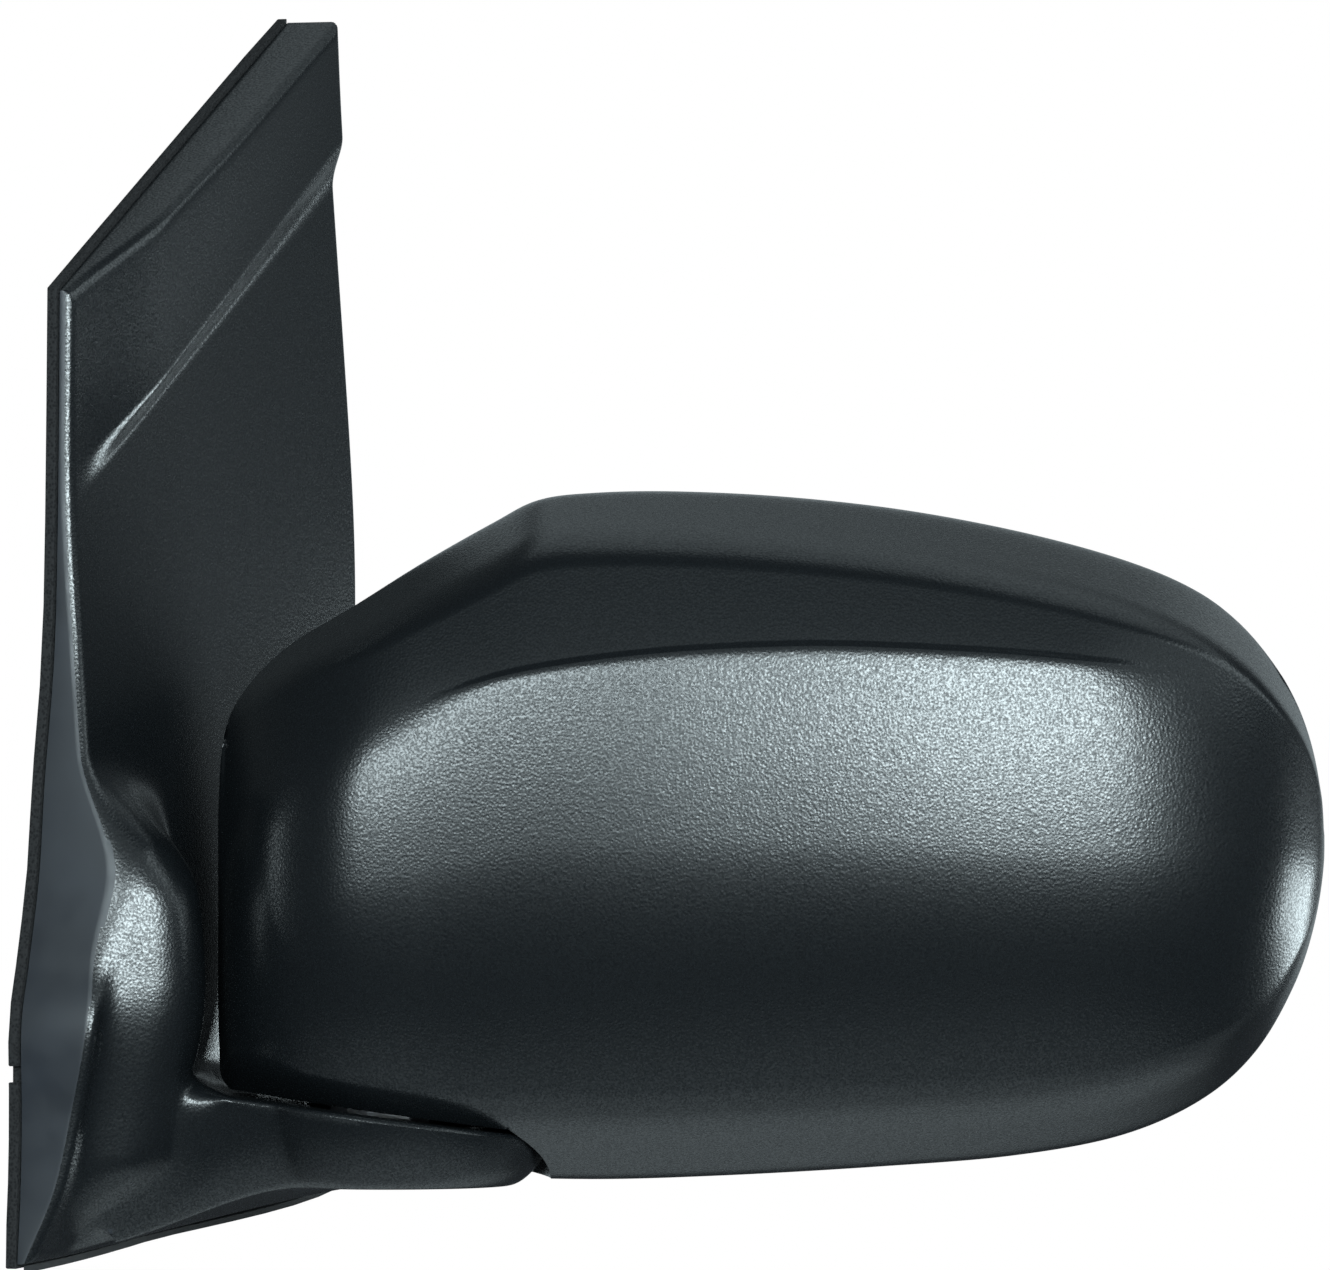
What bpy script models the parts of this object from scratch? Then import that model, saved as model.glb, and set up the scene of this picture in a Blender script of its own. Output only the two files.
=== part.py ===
"""Left-hand exterior mirror of a minivan: a sail cover on the door, a foot with a sprung fold pivot,
a raked head shell and, inside it, the two-motor actuator that aims the glass.

Door frame: X outboard from the door skin, Y towards the rear of the car, Z up.
Head frame: X along the head, Y rearwards out of the glass, Z up; it is the door frame turned by HEAD_RAKE.
Axis frame: Z along the fold axis, with 0 where the head and the foot part.
All sizes below are millimetres and degrees.
"""

import math

import bmesh
import bpy
import numpy as np
from mathutils import Matrix, Vector

MM = 0.001

# ---- driving dimensions -------------------------------------------------------------------------

HEAD_RAKE = 25.0  # the head sweeps back by this much from square to the door
PIVOT = (52.8, -36.0, -55.5)  # fold axis at the parting plane, head frame
PIVOT_LEAN = 7.5  # the fold axis leans outboard
PARTING_GAP = 1.0
WALL = 2.6

FOOT_RADIUS = 36.0
FOOT_BOTTOM = -71.5
HEAD_CUT_RADIUS = 37.0
PIVOT_OPENING = 21.5

# Widest outline of the head, seen along the glass normal (along, up), before the foot is let in.
HEAD_OUTLINE = [
    (17.2, -49.9), (15.2, -40.0), (15.0, -10.0), (15.1, 13.0), (16.6, 28.6), (21.5, 38.2),
    (30.8, 47.3), (44.9, 55.9), (60.0, 65.4), (75.5, 74.2), (85.5, 79.2), (98.0, 80.8),
    (116.0, 81.1), (140.0, 79.9), (166.0, 77.0), (192.0, 72.1), (214.3, 66.0), (229.5, 59.6),
    (239.5, 52.2), (247.5, 42.3), (253.6, 30.8), (257.2, 17.0), (258.2, 1.0), (256.2, -14.0),
    (251.5, -28.0), (243.0, -42.4), (231.0, -52.9), (213.5, -60.6), (190.0, -65.0), (161.0, -67.4),
    (126.0, -69.4), (96.0, -70.2), (70.0, -69.0), (48.0, -64.5), (30.0, -57.0),
]
HEAD_CENTRE = (140.0, 4.0)
HEAD_PLANE = PIVOT[1]  # the widest section stands over the fold axis
HEAD_DEPTH = 49.0  # forward of the widest section
HEAD_REAR = 31.0  # from the widest section back to the rim
FACE_BULGE = (0.50, 0.12)  # share of the depth lost from mid height to the lower and the upper edge
FLANK_SLOPE = (3.3, 4.0)  # how steeply the underside and the top face run forward
FLANK_ROLL = 0.06
EDGE_SOFTNESS = 0.20  # rounding where the front face meets the top face and the underside
PLAN_POWER = 2.8
HOLLOW_RAYS = 40

# Character line on the front of the head (along, up); the face above it steps back and leans back.
FEATURE_LINE = [
    (15.0, -2.0), (27.0, 9.5), (42.0, 22.0), (58.7, 33.0), (71.7, 38.7), (88.0, 42.5), (112.0, 45.5),
    (137.0, 46.9), (156.0, 46.9), (185.0, 45.5), (204.6, 43.8), (229.0, 41.4), (250.0, 39.6),
]
FEATURE_STEP = 0.7
SHOULDER_LEAN = 0.40  # how far back for each millimetre up

# Sail cover: front and rear edges as (rearwards, up), from the bottom edge to the windscreen pillar.
SAIL_FRONT = [
    (-71.5, -87.6), (-70.0, -72.0), (-69.4, -55.0), (-69.6, -36.0), (-66.0, -22.0), (-61.2, -3.0),
    (-58.6, 17.6), (-54.0, 46.0), (-52.3, 80.0), (-51.5, 125.0),
]
SAIL_REAR = [
    (57.5, -73.0), (58.0, -60.0), (58.5, -45.0), (59.0, -28.0), (59.5, -12.0), (60.0, 8.0),
    (60.0, 32.0), (60.0, 78.0), (59.5, 157.0), (60.0, 188.2),
]
# How far the cover stands off the door along the same two edges.
SAIL_FRONT_DEPTH = [6.0, 12.5, 16.5, 20.4, 19.6, 16.8, 13.2, 8.6, 5.6, 5.4]
SAIL_MIDDLE_DEPTH = [7.5, 14.5, 18.0, 20.0, 19.8, 18.2, 15.6, 12.6, 9.6, 10.2]
SAIL_REAR_DEPTH = [9.0, 15.0, 18.5, 20.0, 20.2, 20.4, 20.6, 20.4, 15.0, 13.0]
SAIL_STEP_ROW = 8  # the raised pillar band starts at this row
SAIL_BAND_RISE = 5.0
FLARE_RISE = 16.0  # how far the front of the sail swells out above the foot
SAIL_EDGE_RADIUS = 2.4
SAIL_RIM = 2.7  # the cover ends here, on the gasket

# Foot seen from above (outboard, rearwards), from the sail round the disc's front side.
FOOT_FRONT_FLARE = [(8.0, -63.0), (17.0, -58.0), (27.0, -52.0), (39.0, -47.6)]

# Glass seen square on (along, up); its inner lower corner stays clear of the fold pivot.
GLASS_OUTLINE = [
    (68.5, -30.0), (66.2, -12.0), (66.5, 10.0), (70.5, 27.0), (79.5, 42.0), (93.0, 54.5),
    (110.0, 61.0), (140.0, 62.0), (170.0, 59.6), (198.0, 54.6), (218.0, 46.4), (232.0, 34.0),
    (239.6, 18.0), (241.4, 1.0), (238.4, -15.0), (230.5, -30.0), (216.5, -42.5), (196.0, -48.4),
    (164.0, -50.6), (130.0, -51.6), (102.0, -51.0), (84.0, -47.6), (73.5, -40.5),
]
GLASS_CENTRE = (141.0, -25.0, 5.0)  # crossing of the two aiming axes, head frame
GLASS_BACK = 17.0  # mirror face behind the aiming axes
BEZEL_GAP = 3.6  # round the glass, so that it can swing
JACK_RADIUS = 32.0  # from the aiming axes to each jackscrew
WHEEL_PLANE = -21.0  # gear wheels, forward of the aiming axes
WORM_OFFSET = 15.4

STUDS = [(-15.0, -28.0), (38.0, -38.0), (16.0, 46.0)]  # (rearwards, up)
COVER_SCREWS = [(-28.0, 26.0), (40.0, 20.0), (30.0, 130.0)]
CARRIER_SCREWS = [(86.0, 34.0), (190.0, 30.0), (190.0, -26.0)]
ACTUATOR_SCREWS = [(99.0, 49.0), (171.0, 49.0), (171.0, -19.0)]
GROMMET = (-16.0, -62.0)  # wire passage through the bracket plate (rearwards, up)


# ---- frames -------------------------------------------------------------------------------------

DOOR = Matrix.Identity(4)
HEAD = Matrix.Rotation(math.radians(HEAD_RAKE), 4, "Z")
AXIS = HEAD @ Matrix.Translation(Vector(PIVOT) * MM) @ Matrix.Rotation(math.radians(PIVOT_LEAN), 4, "Y")
GLASS = HEAD @ Matrix.Translation(Vector(GLASS_CENTRE) * MM)


def clear_scene():
    for old in list(bpy.data.objects):
        bpy.data.objects.remove(old, do_unlink=True)


def add_joint_frame(name, matrix):
    frame = bpy.data.objects.new(name, None)
    frame.matrix_basis = matrix
    bpy.context.scene.collection.objects.link(frame)
    return frame


# ---- materials ----------------------------------------------------------------------------------

def material(name, colour, roughness, metallic=0.0):
    found = bpy.data.materials.get(name)
    if found:
        return found
    made = bpy.data.materials.new(name)
    made.use_nodes = True
    shader = made.node_tree.nodes["Principled BSDF"]
    shader.inputs["Base Color"].default_value = (*colour, 1.0)
    shader.inputs["Roughness"].default_value = roughness
    shader.inputs["Metallic"].default_value = metallic
    made.diffuse_color = (*colour, 1.0)
    return made


def textured_black():
    return material("textured_black_plastic", (0.022, 0.027, 0.029), 0.5)


def smooth_black():
    return material("smooth_black_plastic", (0.015, 0.016, 0.018), 0.35)


def grey_plastic():
    return material("grey_nylon", (0.22, 0.23, 0.24), 0.5)


def white_plastic():
    return material("white_acetal", (0.75, 0.74, 0.7), 0.4)


def rubber():
    return material("black_rubber", (0.008, 0.008, 0.009), 0.8)


def foam():
    return material("black_foam", (0.012, 0.012, 0.013), 0.95)


def die_cast():
    return material("die_cast_zinc", (0.46, 0.47, 0.49), 0.42, 0.9)


def steel():
    return material("zinc_plated_steel", (0.62, 0.63, 0.66), 0.3, 1.0)


def spring_steel():
    return material("spring_steel", (0.2, 0.2, 0.22), 0.35, 1.0)


def silvered_glass():
    return material("silvered_glass", (0.86, 0.88, 0.9), 0.03, 1.0)


def wire_sleeve():
    return material("wire_sleeve", (0.03, 0.03, 0.033), 0.6)


# ---- mesh helpers -------------------------------------------------------------------------------

def add_solid(name, points, faces, frame, finish, parent=None, smooth=False):
    """A closed mesh from points in millimetres, placed by its frame."""
    mesh = bpy.data.meshes.new(name)
    mesh.from_pydata([Vector(p) * MM for p in points], [], faces)
    work = bmesh.new()
    work.from_mesh(mesh)
    bmesh.ops.recalc_face_normals(work, faces=work.faces)
    work.to_mesh(mesh)
    work.free()
    mesh.materials.append(finish)
    obj = bpy.data.objects.new(name, mesh)
    bpy.context.scene.collection.objects.link(obj)
    if parent:
        obj.parent = parent
        obj.matrix_parent_inverse = parent.matrix_basis.inverted()
    obj.matrix_basis = frame
    if smooth:
        mesh.shade_smooth()
        mesh.set_sharp_from_angle(angle=math.radians(35))
    return obj


def boolean(obj, other, operation):
    """Cut the other solid out of this one, or join it on; the other stays as a hidden helper."""
    step = obj.modifiers.new(other.name, "BOOLEAN")
    step.operation = operation
    step.solver = "EXACT"
    step.object = other
    other.hide_render = True
    other.display_type = "WIRE"
    return obj


def cut(obj, other):
    return boolean(obj, other, "DIFFERENCE")


def join(obj, other):
    return boolean(obj, other, "UNION")


def between(ring_a, ring_b, closed=True):
    """Quads between two rows of point numbers of equal length."""
    count = len(ring_a)
    last = count if closed else count - 1
    return [(ring_a[i], ring_a[(i + 1) % count], ring_b[(i + 1) % count], ring_b[i]) for i in range(last)]


def stacked(rings, cap_low=True, cap_high=True):
    """Points and faces of a tube through closed rings of points, with flat caps."""
    size = len(rings[0])
    points = [tuple(p) for ring in rings for p in ring]
    rows = [list(range(k * size, (k + 1) * size)) for k in range(len(rings))]
    faces = []
    for low, high in zip(rows, rows[1:]):
        faces += between(low, high)
    if cap_low:
        faces.append(tuple(reversed(rows[0])))
    if cap_high:
        faces.append(tuple(rows[-1]))
    return points, faces


def prism(name, outline, low, high, along, frame, finish, parent=None):
    """An outline pushed from low to high along X, Y or Z; its two numbers are the other two axes."""
    place = {
        "X": lambda a, b, d: (d, a, b),
        "Y": lambda a, b, d: (a, d, b),
        "Z": lambda a, b, d: (a, b, d),
    }[along]
    rings = [[place(a, b, d) for a, b in outline] for d in (low, high)]
    return add_solid(name, *stacked(rings), frame, finish, parent)


def box(name, low, high, frame, finish, parent=None):
    (x0, y0, z0), (x1, y1, z1) = low, high
    outline = [(x0, y0), (x1, y0), (x1, y1), (x0, y1)]
    return prism(name, outline, z0, z1, "Z", frame, finish, parent)


def circle(radius, segments, centre=(0.0, 0.0)):
    return [
        (
            centre[0] + radius * math.cos(2 * math.pi * i / segments),
            centre[1] + radius * math.sin(2 * math.pi * i / segments),
        )
        for i in range(segments)
    ]


def turned(name, profile, frame, finish, parent=None, segments=24):
    """A closed (radius, height) profile turned about Z; a height on the axis becomes a single point."""
    points = []
    rows = []
    for radius, height in profile:
        if radius == 0:
            rows.append([len(points)])
            points.append((0.0, 0.0, height))
        else:
            rows.append(list(range(len(points), len(points) + segments)))
            points += [(x, y, height) for x, y in circle(radius, segments)]
    faces = []
    for a, b in zip(rows, rows[1:] + rows[:1]):
        if len(a) == 1 and len(b) == 1:
            continue
        if len(a) == 1 or len(b) == 1:
            tip = a[0] if len(a) == 1 else b[0]
            ring = b if len(a) == 1 else a
            faces += [(tip, ring[i], ring[(i + 1) % segments]) for i in range(segments)]
        else:
            faces += between(a, b)
    return add_solid(name, points, faces, frame, finish, parent, smooth=True)


def swept(name, path, radius, frame, finish, parent=None, segments=8):
    """A round bar along a path of points."""
    path = [Vector(p) for p in path]
    rings = []
    side = None
    for i, point in enumerate(path):
        ahead = (path[min(i + 1, len(path) - 1)] - path[max(i - 1, 0)]).normalized()
        if side is None:
            side = ahead.orthogonal().normalized()
        side = (side - ahead * side.dot(ahead)).normalized()
        up = ahead.cross(side)
        rings.append([point + side * x + up * y for x, y in circle(radius, segments)])
    return add_solid(name, *stacked(rings), frame, finish, parent, smooth=True)


def smooth_path(corners, per_span):
    """Points of a Catmull-Rom curve through the corners."""
    ends = [2 * Vector(corners[0]) - Vector(corners[1])] + [Vector(c) for c in corners]
    ends.append(2 * ends[-1] - ends[-2])
    found = []
    for a, b, c, d in zip(ends, ends[1:], ends[2:], ends[3:]):
        for i in range(per_span):
            t = i / per_span
            found.append(
                0.5 * (2 * b + (c - a) * t + (2 * a - 5 * b + 4 * c - d) * t**2 + (3 * b - a - 3 * c + d) * t**3)
            )
    found.append(Vector(corners[-1]))
    return found


def turn_to(direction):
    """Rotation taking Z to a direction of the same frame."""
    return Vector((0, 0, 1)).rotation_difference(Vector(direction)).to_matrix().to_4x4()


def at(frame, place, direction=(0, 0, 1)):
    """A frame moved to a place in millimetres, with its Z turned to a direction."""
    return frame @ Matrix.Translation(Vector(place) * MM) @ turn_to(direction)


# ---- shared curves ------------------------------------------------------------------------------

def ease(low, high, value):
    """0 below low, 1 above high, and an S-curve between."""
    t = np.clip((value - low) / (high - low), 0.0, 1.0)
    return t * t * (3 - 2 * t)


def curve_through(values, position):
    """Catmull-Rom value of a list at a position measured in entries."""
    values = np.asarray(values, float)
    position = np.clip(np.asarray(position, float), 0, len(values) - 1)
    base = np.minimum(position.astype(int), len(values) - 2)
    t = position - base
    first, last = base == 0, base == len(values) - 2
    if values.ndim > 1:
        t, first, last = t[..., None], first[..., None], last[..., None]
    b = values[base]
    c = values[base + 1]
    a = np.where(first, 2 * b - c, values[np.maximum(base - 1, 0)])
    d = np.where(last, 2 * c - b, values[np.minimum(base + 2, len(values) - 1)])
    return 0.5 * (2 * b + (c - a) * t + (2 * a - 5 * b + 4 * c - d) * t**2 + (3 * b - a - 3 * c + d) * t**3)


def evenly_round(outline, count):
    """The closed outline as a smooth curve, cut into equal steps."""
    loop = np.array(outline[-2:] + outline + outline[:3], float)
    fine = curve_through(loop, np.arange(2, 2 + len(outline), 0.05))
    steps = np.linalg.norm(np.diff(np.vstack([fine, fine[:1]]), axis=0), axis=1)
    reach = np.concatenate([[0], np.cumsum(steps)])
    wanted = np.linspace(0, reach[-1], count, endpoint=False)
    closed = np.vstack([fine, fine[:1]])
    return np.column_stack([np.interp(wanted, reach, closed[:, k]) for k in (0, 1)])


def inset(outline, distance):
    """The closed outline moved inwards by a distance."""
    outline = np.asarray(outline, float)
    along = np.roll(outline, -1, axis=0) - np.roll(outline, 1, axis=0)
    along /= np.linalg.norm(along, axis=1)[:, None]
    normal = np.column_stack([along[:, 1], -along[:, 0]])
    area = np.sum(outline[:, 0] * np.roll(outline[:, 1], -1) - outline[:, 1] * np.roll(outline[:, 0], -1))
    return outline - normal * distance * (1 if area > 0 else -1)


# ---- head shell ---------------------------------------------------------------------------------

def axis_reach(height):
    """Where the leaning fold axis stands along the head at a height."""
    return PIVOT[0] + (height - PIVOT[2]) * math.tan(math.radians(PIVOT_LEAN))


def section_depth(height, set_back):
    """Share of the full depth from the lower limit (-1) to the upper one (1), with soft edges."""
    upper = np.asarray(height) > 0
    away = 1 - np.clip(np.abs(height), 0, 1)
    face = 1 - np.where(upper, FACE_BULGE[1], FACE_BULGE[0]) * np.square(height) - set_back
    rise = np.where(upper, FLANK_SLOPE[1], FLANK_SLOPE[0]) * away
    flank = np.sqrt(rise**2 + 2 * FLANK_ROLL * rise)
    share = np.clip(0.5 + 0.5 * (flank - face) / EDGE_SOFTNESS, 0, 1)
    return flank * (1 - share) + face * share - EDGE_SOFTNESS * share * (1 - share)


def head_limits(outline, along):
    """Bottom and top of the outline at places along the head."""
    left, right = np.argmin(outline[:, 0]), np.argmax(outline[:, 0])
    ring = np.roll(outline, -left, axis=0)
    right = (right - left) % len(outline)
    upper = ring[: right + 1]
    lower = np.vstack([ring[right:], ring[:1]])[::-1]
    if upper[len(upper) // 2, 1] < lower[len(lower) // 2, 1]:
        upper, lower = lower, upper
    return np.interp(along, lower[:, 0], lower[:, 1]), np.interp(along, upper[:, 0], upper[:, 1])


def head_plan_depth(along, lowest, highest, depth):
    """Depth forward of the widest section at mid height; the inner end is an arc about the fold axis."""
    middle, half = (lowest + highest) / 2, (highest - lowest) / 2
    share = np.clip(np.abs(along - middle) / half, 0, 1)
    crown = depth * (1 - share**PLAN_POWER) ** (1 / PLAN_POWER)
    axis = axis_reach(0.0)
    radius = axis - lowest
    arc = np.sqrt(np.clip(radius**2 - np.clip(axis - along, 0, radius) ** 2, 0, None))
    blend = ease(38.0, 84.0, along)
    return arc * (1 - blend) + crown * blend


def shoulder(along, up):
    """How far the face stands back above the character line."""
    line = np.array(FEATURE_LINE)
    above = up - np.interp(along, line[:, 0], line[:, 1])
    softness = 1.2 + 7.0 * (1 - ease(50.0, 80.0, along)) + 14.0 * ease(200.0, 245.0, along)
    lean = SHOULDER_LEAN * (1 - ease(200.0, 256.0, along))
    crisp = ease(56.0, 84.0, along) * (1 - ease(196.0, 230.0, along))
    step = FEATURE_STEP * crisp * ease(-0.3, 1.5, above)
    return lean * 0.5 * (above + np.sqrt(above**2 + softness**2)) + step


def head_depth(outline, along, up, depth):
    """Depth forward of the widest section over places on it."""
    bottom, top = head_limits(outline, along)
    middle, half = (top + bottom) / 2, np.maximum((top - bottom) / 2, 1e-6)
    plan = head_plan_depth(along, outline[:, 0].min(), outline[:, 0].max(), depth)
    return plan * section_depth((up - middle) / half, shoulder(along, up) / np.maximum(plan, 12.0))


def head_front(outline, depth, rings):
    """Rings of points from the crown out to the widest outline."""
    centre = np.array(HEAD_CENTRE)
    found = []
    for k in range(1, rings + 1):
        share = math.sin(0.5 * math.pi * k / rings) ** 0.9
        flat = centre + share * (outline - centre)
        forward = head_depth(outline, flat[:, 0], flat[:, 1], depth)
        if k == rings:
            forward = np.zeros(len(flat))
        found.append(np.column_stack([flat[:, 0], HEAD_PLANE - forward, flat[:, 1]]))
    return found


def head_rear_ring(outline, back):
    """The outline a distance behind the widest section: it draws in, and stays clear of the sail."""
    share = back / HEAD_REAR
    ring = inset(outline, 2.2 * share**2)
    axis = axis_reach(ring[:, 1])
    radius = axis - outline[:, 0].min()
    nearest = axis - np.sqrt(np.clip(radius**2 - back**2, 0, None))
    gap = ring[:, 0] - nearest
    along = nearest + 0.5 * (gap + np.sqrt(gap**2 + 1.0))
    return np.column_stack([along, np.full(len(ring), HEAD_PLANE + back), ring[:, 1]])


def head_block(name, margin, rays, rings, back_to):
    """The head as one solid, drawn in by a margin; the rim is carried back as far as asked."""
    outline = inset(evenly_round(HEAD_OUTLINE, rays), margin)
    depth = HEAD_DEPTH - margin
    crown_depth = head_depth(outline, np.array([HEAD_CENTRE[0]]), HEAD_CENTRE[1], depth)[0]
    bands = head_front(outline, depth, rings)
    for back in (8.0, 16.0, 24.0, HEAD_REAR):
        bands.append(head_rear_ring(outline, back))
    if back_to > HEAD_REAR:
        last = bands[-1].copy()
        last[:, 1] = HEAD_PLANE + back_to
        bands.append(last)
    points, faces = stacked(bands, cap_low=False)
    tip = len(points)
    points.append((HEAD_CENTRE[0], HEAD_PLANE - crown_depth, HEAD_CENTRE[1]))
    faces += [(tip, (i + 1) % rays, i) for i in range(rays)]
    return add_solid(name, points, faces, HEAD, textured_black(), smooth=True)


def foot_clearance(name, margin):
    """What the head gives up to the foot: a disc about the fold axis, and all below it towards the door."""
    top = PARTING_GAP / 2 + margin
    radius = HEAD_CUT_RADIUS + margin
    disc = turned(name, [(0, -40), (radius, -40), (radius, top), (0, top)], AXIS, textured_black(), segments=48)
    slab = box(name + "_inboard", (-80, -70, -40.5), (-6.0, 70, top - 0.01), AXIS, textured_black())
    return join(disc, slab)


def head_shell(fold):
    shell = head_block("head_shell", 0.0, 52, 9, HEAD_REAR)
    cut(shell, foot_clearance("foot_clearance", 0.0))
    hollow = head_block("head_hollow", WALL, HOLLOW_RAYS, 6, HEAD_REAR + 12)
    cut(hollow, foot_clearance("floor_clearance", WALL))
    cut(shell, hollow)
    opening = turned("head_floor_opening", [(0, -4), (PIVOT_OPENING, -4), (PIVOT_OPENING, 8), (0, 8)], AXIS,
                     textured_black())
    cut(shell, opening)
    for i, (along, up) in enumerate(CARRIER_SCREWS):
        join(shell, shell_boss(i + 1, along, up))
        drill = turned(f"boss_bore_{i + 1}", [(0, -1), (2.0, -1), (2.0, 9), (0, 9)],
                       at(HEAD, (along, -67.6, up), (0, -1, 0)), textured_black(), segments=12)
        cut(shell, drill)
    put_under(shell, fold)
    return shell


def shell_boss(number, along, up):
    """A screw post standing on the inside of the front skin."""
    skin = head_depth(evenly_round(HEAD_OUTLINE, 200), np.array([along]), up, HEAD_DEPTH)[0]
    length = skin - WALL / 2 - (67.6 + HEAD_PLANE)
    return turned(f"shell_boss_{number}", [(0, 0), (4.6, 0), (4.9, length), (0, length)],
                  at(HEAD, (along, -67.6, up), (0, -1, 0)), textured_black(), segments=16)


def put_under(obj, parent):
    obj.parent = parent
    obj.matrix_parent_inverse = parent.matrix_basis.inverted()


# ---- sail cover and foot ------------------------------------------------------------------------

def sail_face(across, row):
    """Outer face of the sail: across runs 0 to 1 from front to rear, row counts up the edge lists."""
    front = curve_through(SAIL_FRONT, row)
    rear = curve_through(SAIL_REAR, row)
    place = front + (rear - front) * across[..., None]
    place[..., 1] -= 2.2 * 4 * across * (1 - across) * np.clip(1 - row / 3, 0, 1)
    low = curve_through(SAIL_FRONT_DEPTH, row)
    middle = curve_through(SAIL_MIDDLE_DEPTH, row)
    high = curve_through(SAIL_REAR_DEPTH, row)
    depth = low * (1 - across) * (1 - 2 * across)
    depth = depth + 4 * middle * across * (1 - across) + high * across * (2 * across - 1)
    band = ease(SAIL_STEP_ROW - 0.1, SAIL_STEP_ROW + 0.12, row)
    depth = depth + SAIL_BAND_RISE * band * ease(0.0, 0.3, across) * (1 - 0.35 * ease(0.5, 1.0, across))
    depth = depth + shoulder_flare(place[..., 0], place[..., 1])
    return np.concatenate([depth[..., None], place], axis=-1)


def shoulder_flare(rearwards, up):
    """How far the sail's front edge swells out towards the foot, short of where the head swings."""
    swell = ease(-67.0, -51.0, rearwards) * (1 - ease(-47.0, -25.0, rearwards))
    below = 0.85 + 0.15 * ease(-60.0, -10.0, up)
    return FLARE_RISE * swell * below * (1 - ease(-8.0, 24.0, up)) * ease(-82.0, -64.0, up)


def edge_drop(distance, radius):
    """How far a rounded edge falls below the face at a distance in from the side."""
    near = np.clip(radius - distance, 0, radius)
    return radius - np.sqrt(radius**2 - near**2)


def sail_block(name, margin, lowest, columns, rows):
    """The sail as one solid between a low plane and its outer face, drawn in by a margin."""
    radius = SAIL_EDGE_RADIUS
    width = 118.0
    edge = [0.0, 0.12 * radius, 0.45 * radius, radius]
    middle = np.linspace(radius, width - margin * 2 - radius, columns)[1:-1]
    reach = width - 2 * margin
    distances = np.array(edge + list(middle) + [reach - e for e in reversed(edge)])
    across = (distances + margin) / width
    last = len(SAIL_FRONT) - 1
    low_row, high_row = margin / 15.0, last - margin / 34.0
    row_edge_low = [low_row + e / 15.0 for e in edge]
    row_edge_high = [high_row - e / 34.0 for e in reversed(edge)]
    around_step = [SAIL_STEP_ROW - 0.1, SAIL_STEP_ROW + 0.01, SAIL_STEP_ROW + 0.12]
    inner_rows = [r for r in np.linspace(row_edge_low[-1], row_edge_high[0], rows)[1:-1]
                  if min(abs(r - s) for s in around_step) > 0.12]
    levels = np.array(row_edge_low + sorted(inner_rows + around_step) + row_edge_high)
    grid_across, grid_row = np.meshgrid(across, levels)
    grid = sail_face(grid_across, grid_row)
    side = np.minimum(distances, reach - distances)[None, :]
    end = np.minimum((levels - low_row) * 15.0, (high_row - levels) * 34.0)[:, None]
    fall = np.maximum(edge_drop(side, radius), edge_drop(end, radius))
    grid[..., 0] -= margin + fall
    high, wide = grid.shape[:2]
    number = np.arange(high * wide).reshape(high, wide)
    points = [tuple(p) for p in grid.reshape(-1, 3)]
    faces = [
        (number[j, i], number[j, i + 1], number[j + 1, i + 1], number[j + 1, i])
        for j in range(high - 1)
        for i in range(wide - 1)
    ]
    rim = list(number[0, :]) + list(number[1:, -1]) + list(number[-1, -2::-1]) + list(number[-2:0:-1, 0])
    floor = list(range(len(points), len(points) + len(rim)))
    points += [(lowest, points[i][1], points[i][2]) for i in rim]
    faces += between(rim, floor)
    faces.append(tuple(reversed(floor)))
    return add_solid(name, points, faces, DOOR, textured_black(), smooth=True)


def foot_plan(count):
    """Foot seen from above in the door frame, open towards the door: front flare, disc, short rear side."""
    centre = HEAD @ Vector(PIVOT)
    start = math.radians(-108.0)
    stop = math.radians(158.0)
    disc = [
        (centre.x + FOOT_RADIUS * math.cos(a), centre.y + FOOT_RADIUS * math.sin(a))
        for a in np.linspace(start, stop, count)
    ]
    corners = [(x, y, 0) for x, y in FOOT_FRONT_FLARE] + [(*disc[0], 0)]
    flare = [tuple(p[:2]) for p in smooth_path(corners, 2)][:-1]
    rear = [(24.0, disc[-1][1] + 4.0), (8.0, disc[-1][1] + 7.0)]
    return np.array(flare + disc + rear)


def parting_height(x, y):
    """Height of the parting plane over a place in the door frame."""
    normal = AXIS.to_3x3() @ Vector((0, 0, 1))
    centre = HEAD @ Vector(PIVOT)
    return centre.z - ((x - centre.x) * normal.x + (y - centre.y) * normal.y) / normal.z


def foot_floor(x, y):
    """Height of the foot's underside: level below the disc, falling with the sail's lower edge."""
    share = (58.0 - y) / 130.0
    return FOOT_BOTTOM - (1.0 + 15.0 * share) * (1 - ease(6.0, 54.0, x))


def foot_block(name, margin, disc_points, door_end):
    """The foot as one solid, drawn in by a margin, with its lower edge turned under."""
    plan = foot_plan(disc_points)
    rings = []
    for drop, turn_in in ((0.0, 0.0), (0.4, 1.5), (0.7, 3.3), (0.87, 5.2), (0.97, 7.6), (1.0, 10.0)):
        ring = inset(plan, margin + turn_in)
        ring[0] = door_end, plan[0, 1] + margin + turn_in
        ring[-1] = door_end, plan[-1, 1] - margin - turn_in
        top = parting_height(ring[:, 0], ring[:, 1]) - PARTING_GAP / 2 - margin
        bottom = foot_floor(ring[:, 0], ring[:, 1]) + margin
        rings.append(np.column_stack([ring, top + (bottom - top) * drop]))
    return add_solid(name, *stacked(rings), DOOR, textured_black(), smooth=True)


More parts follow.
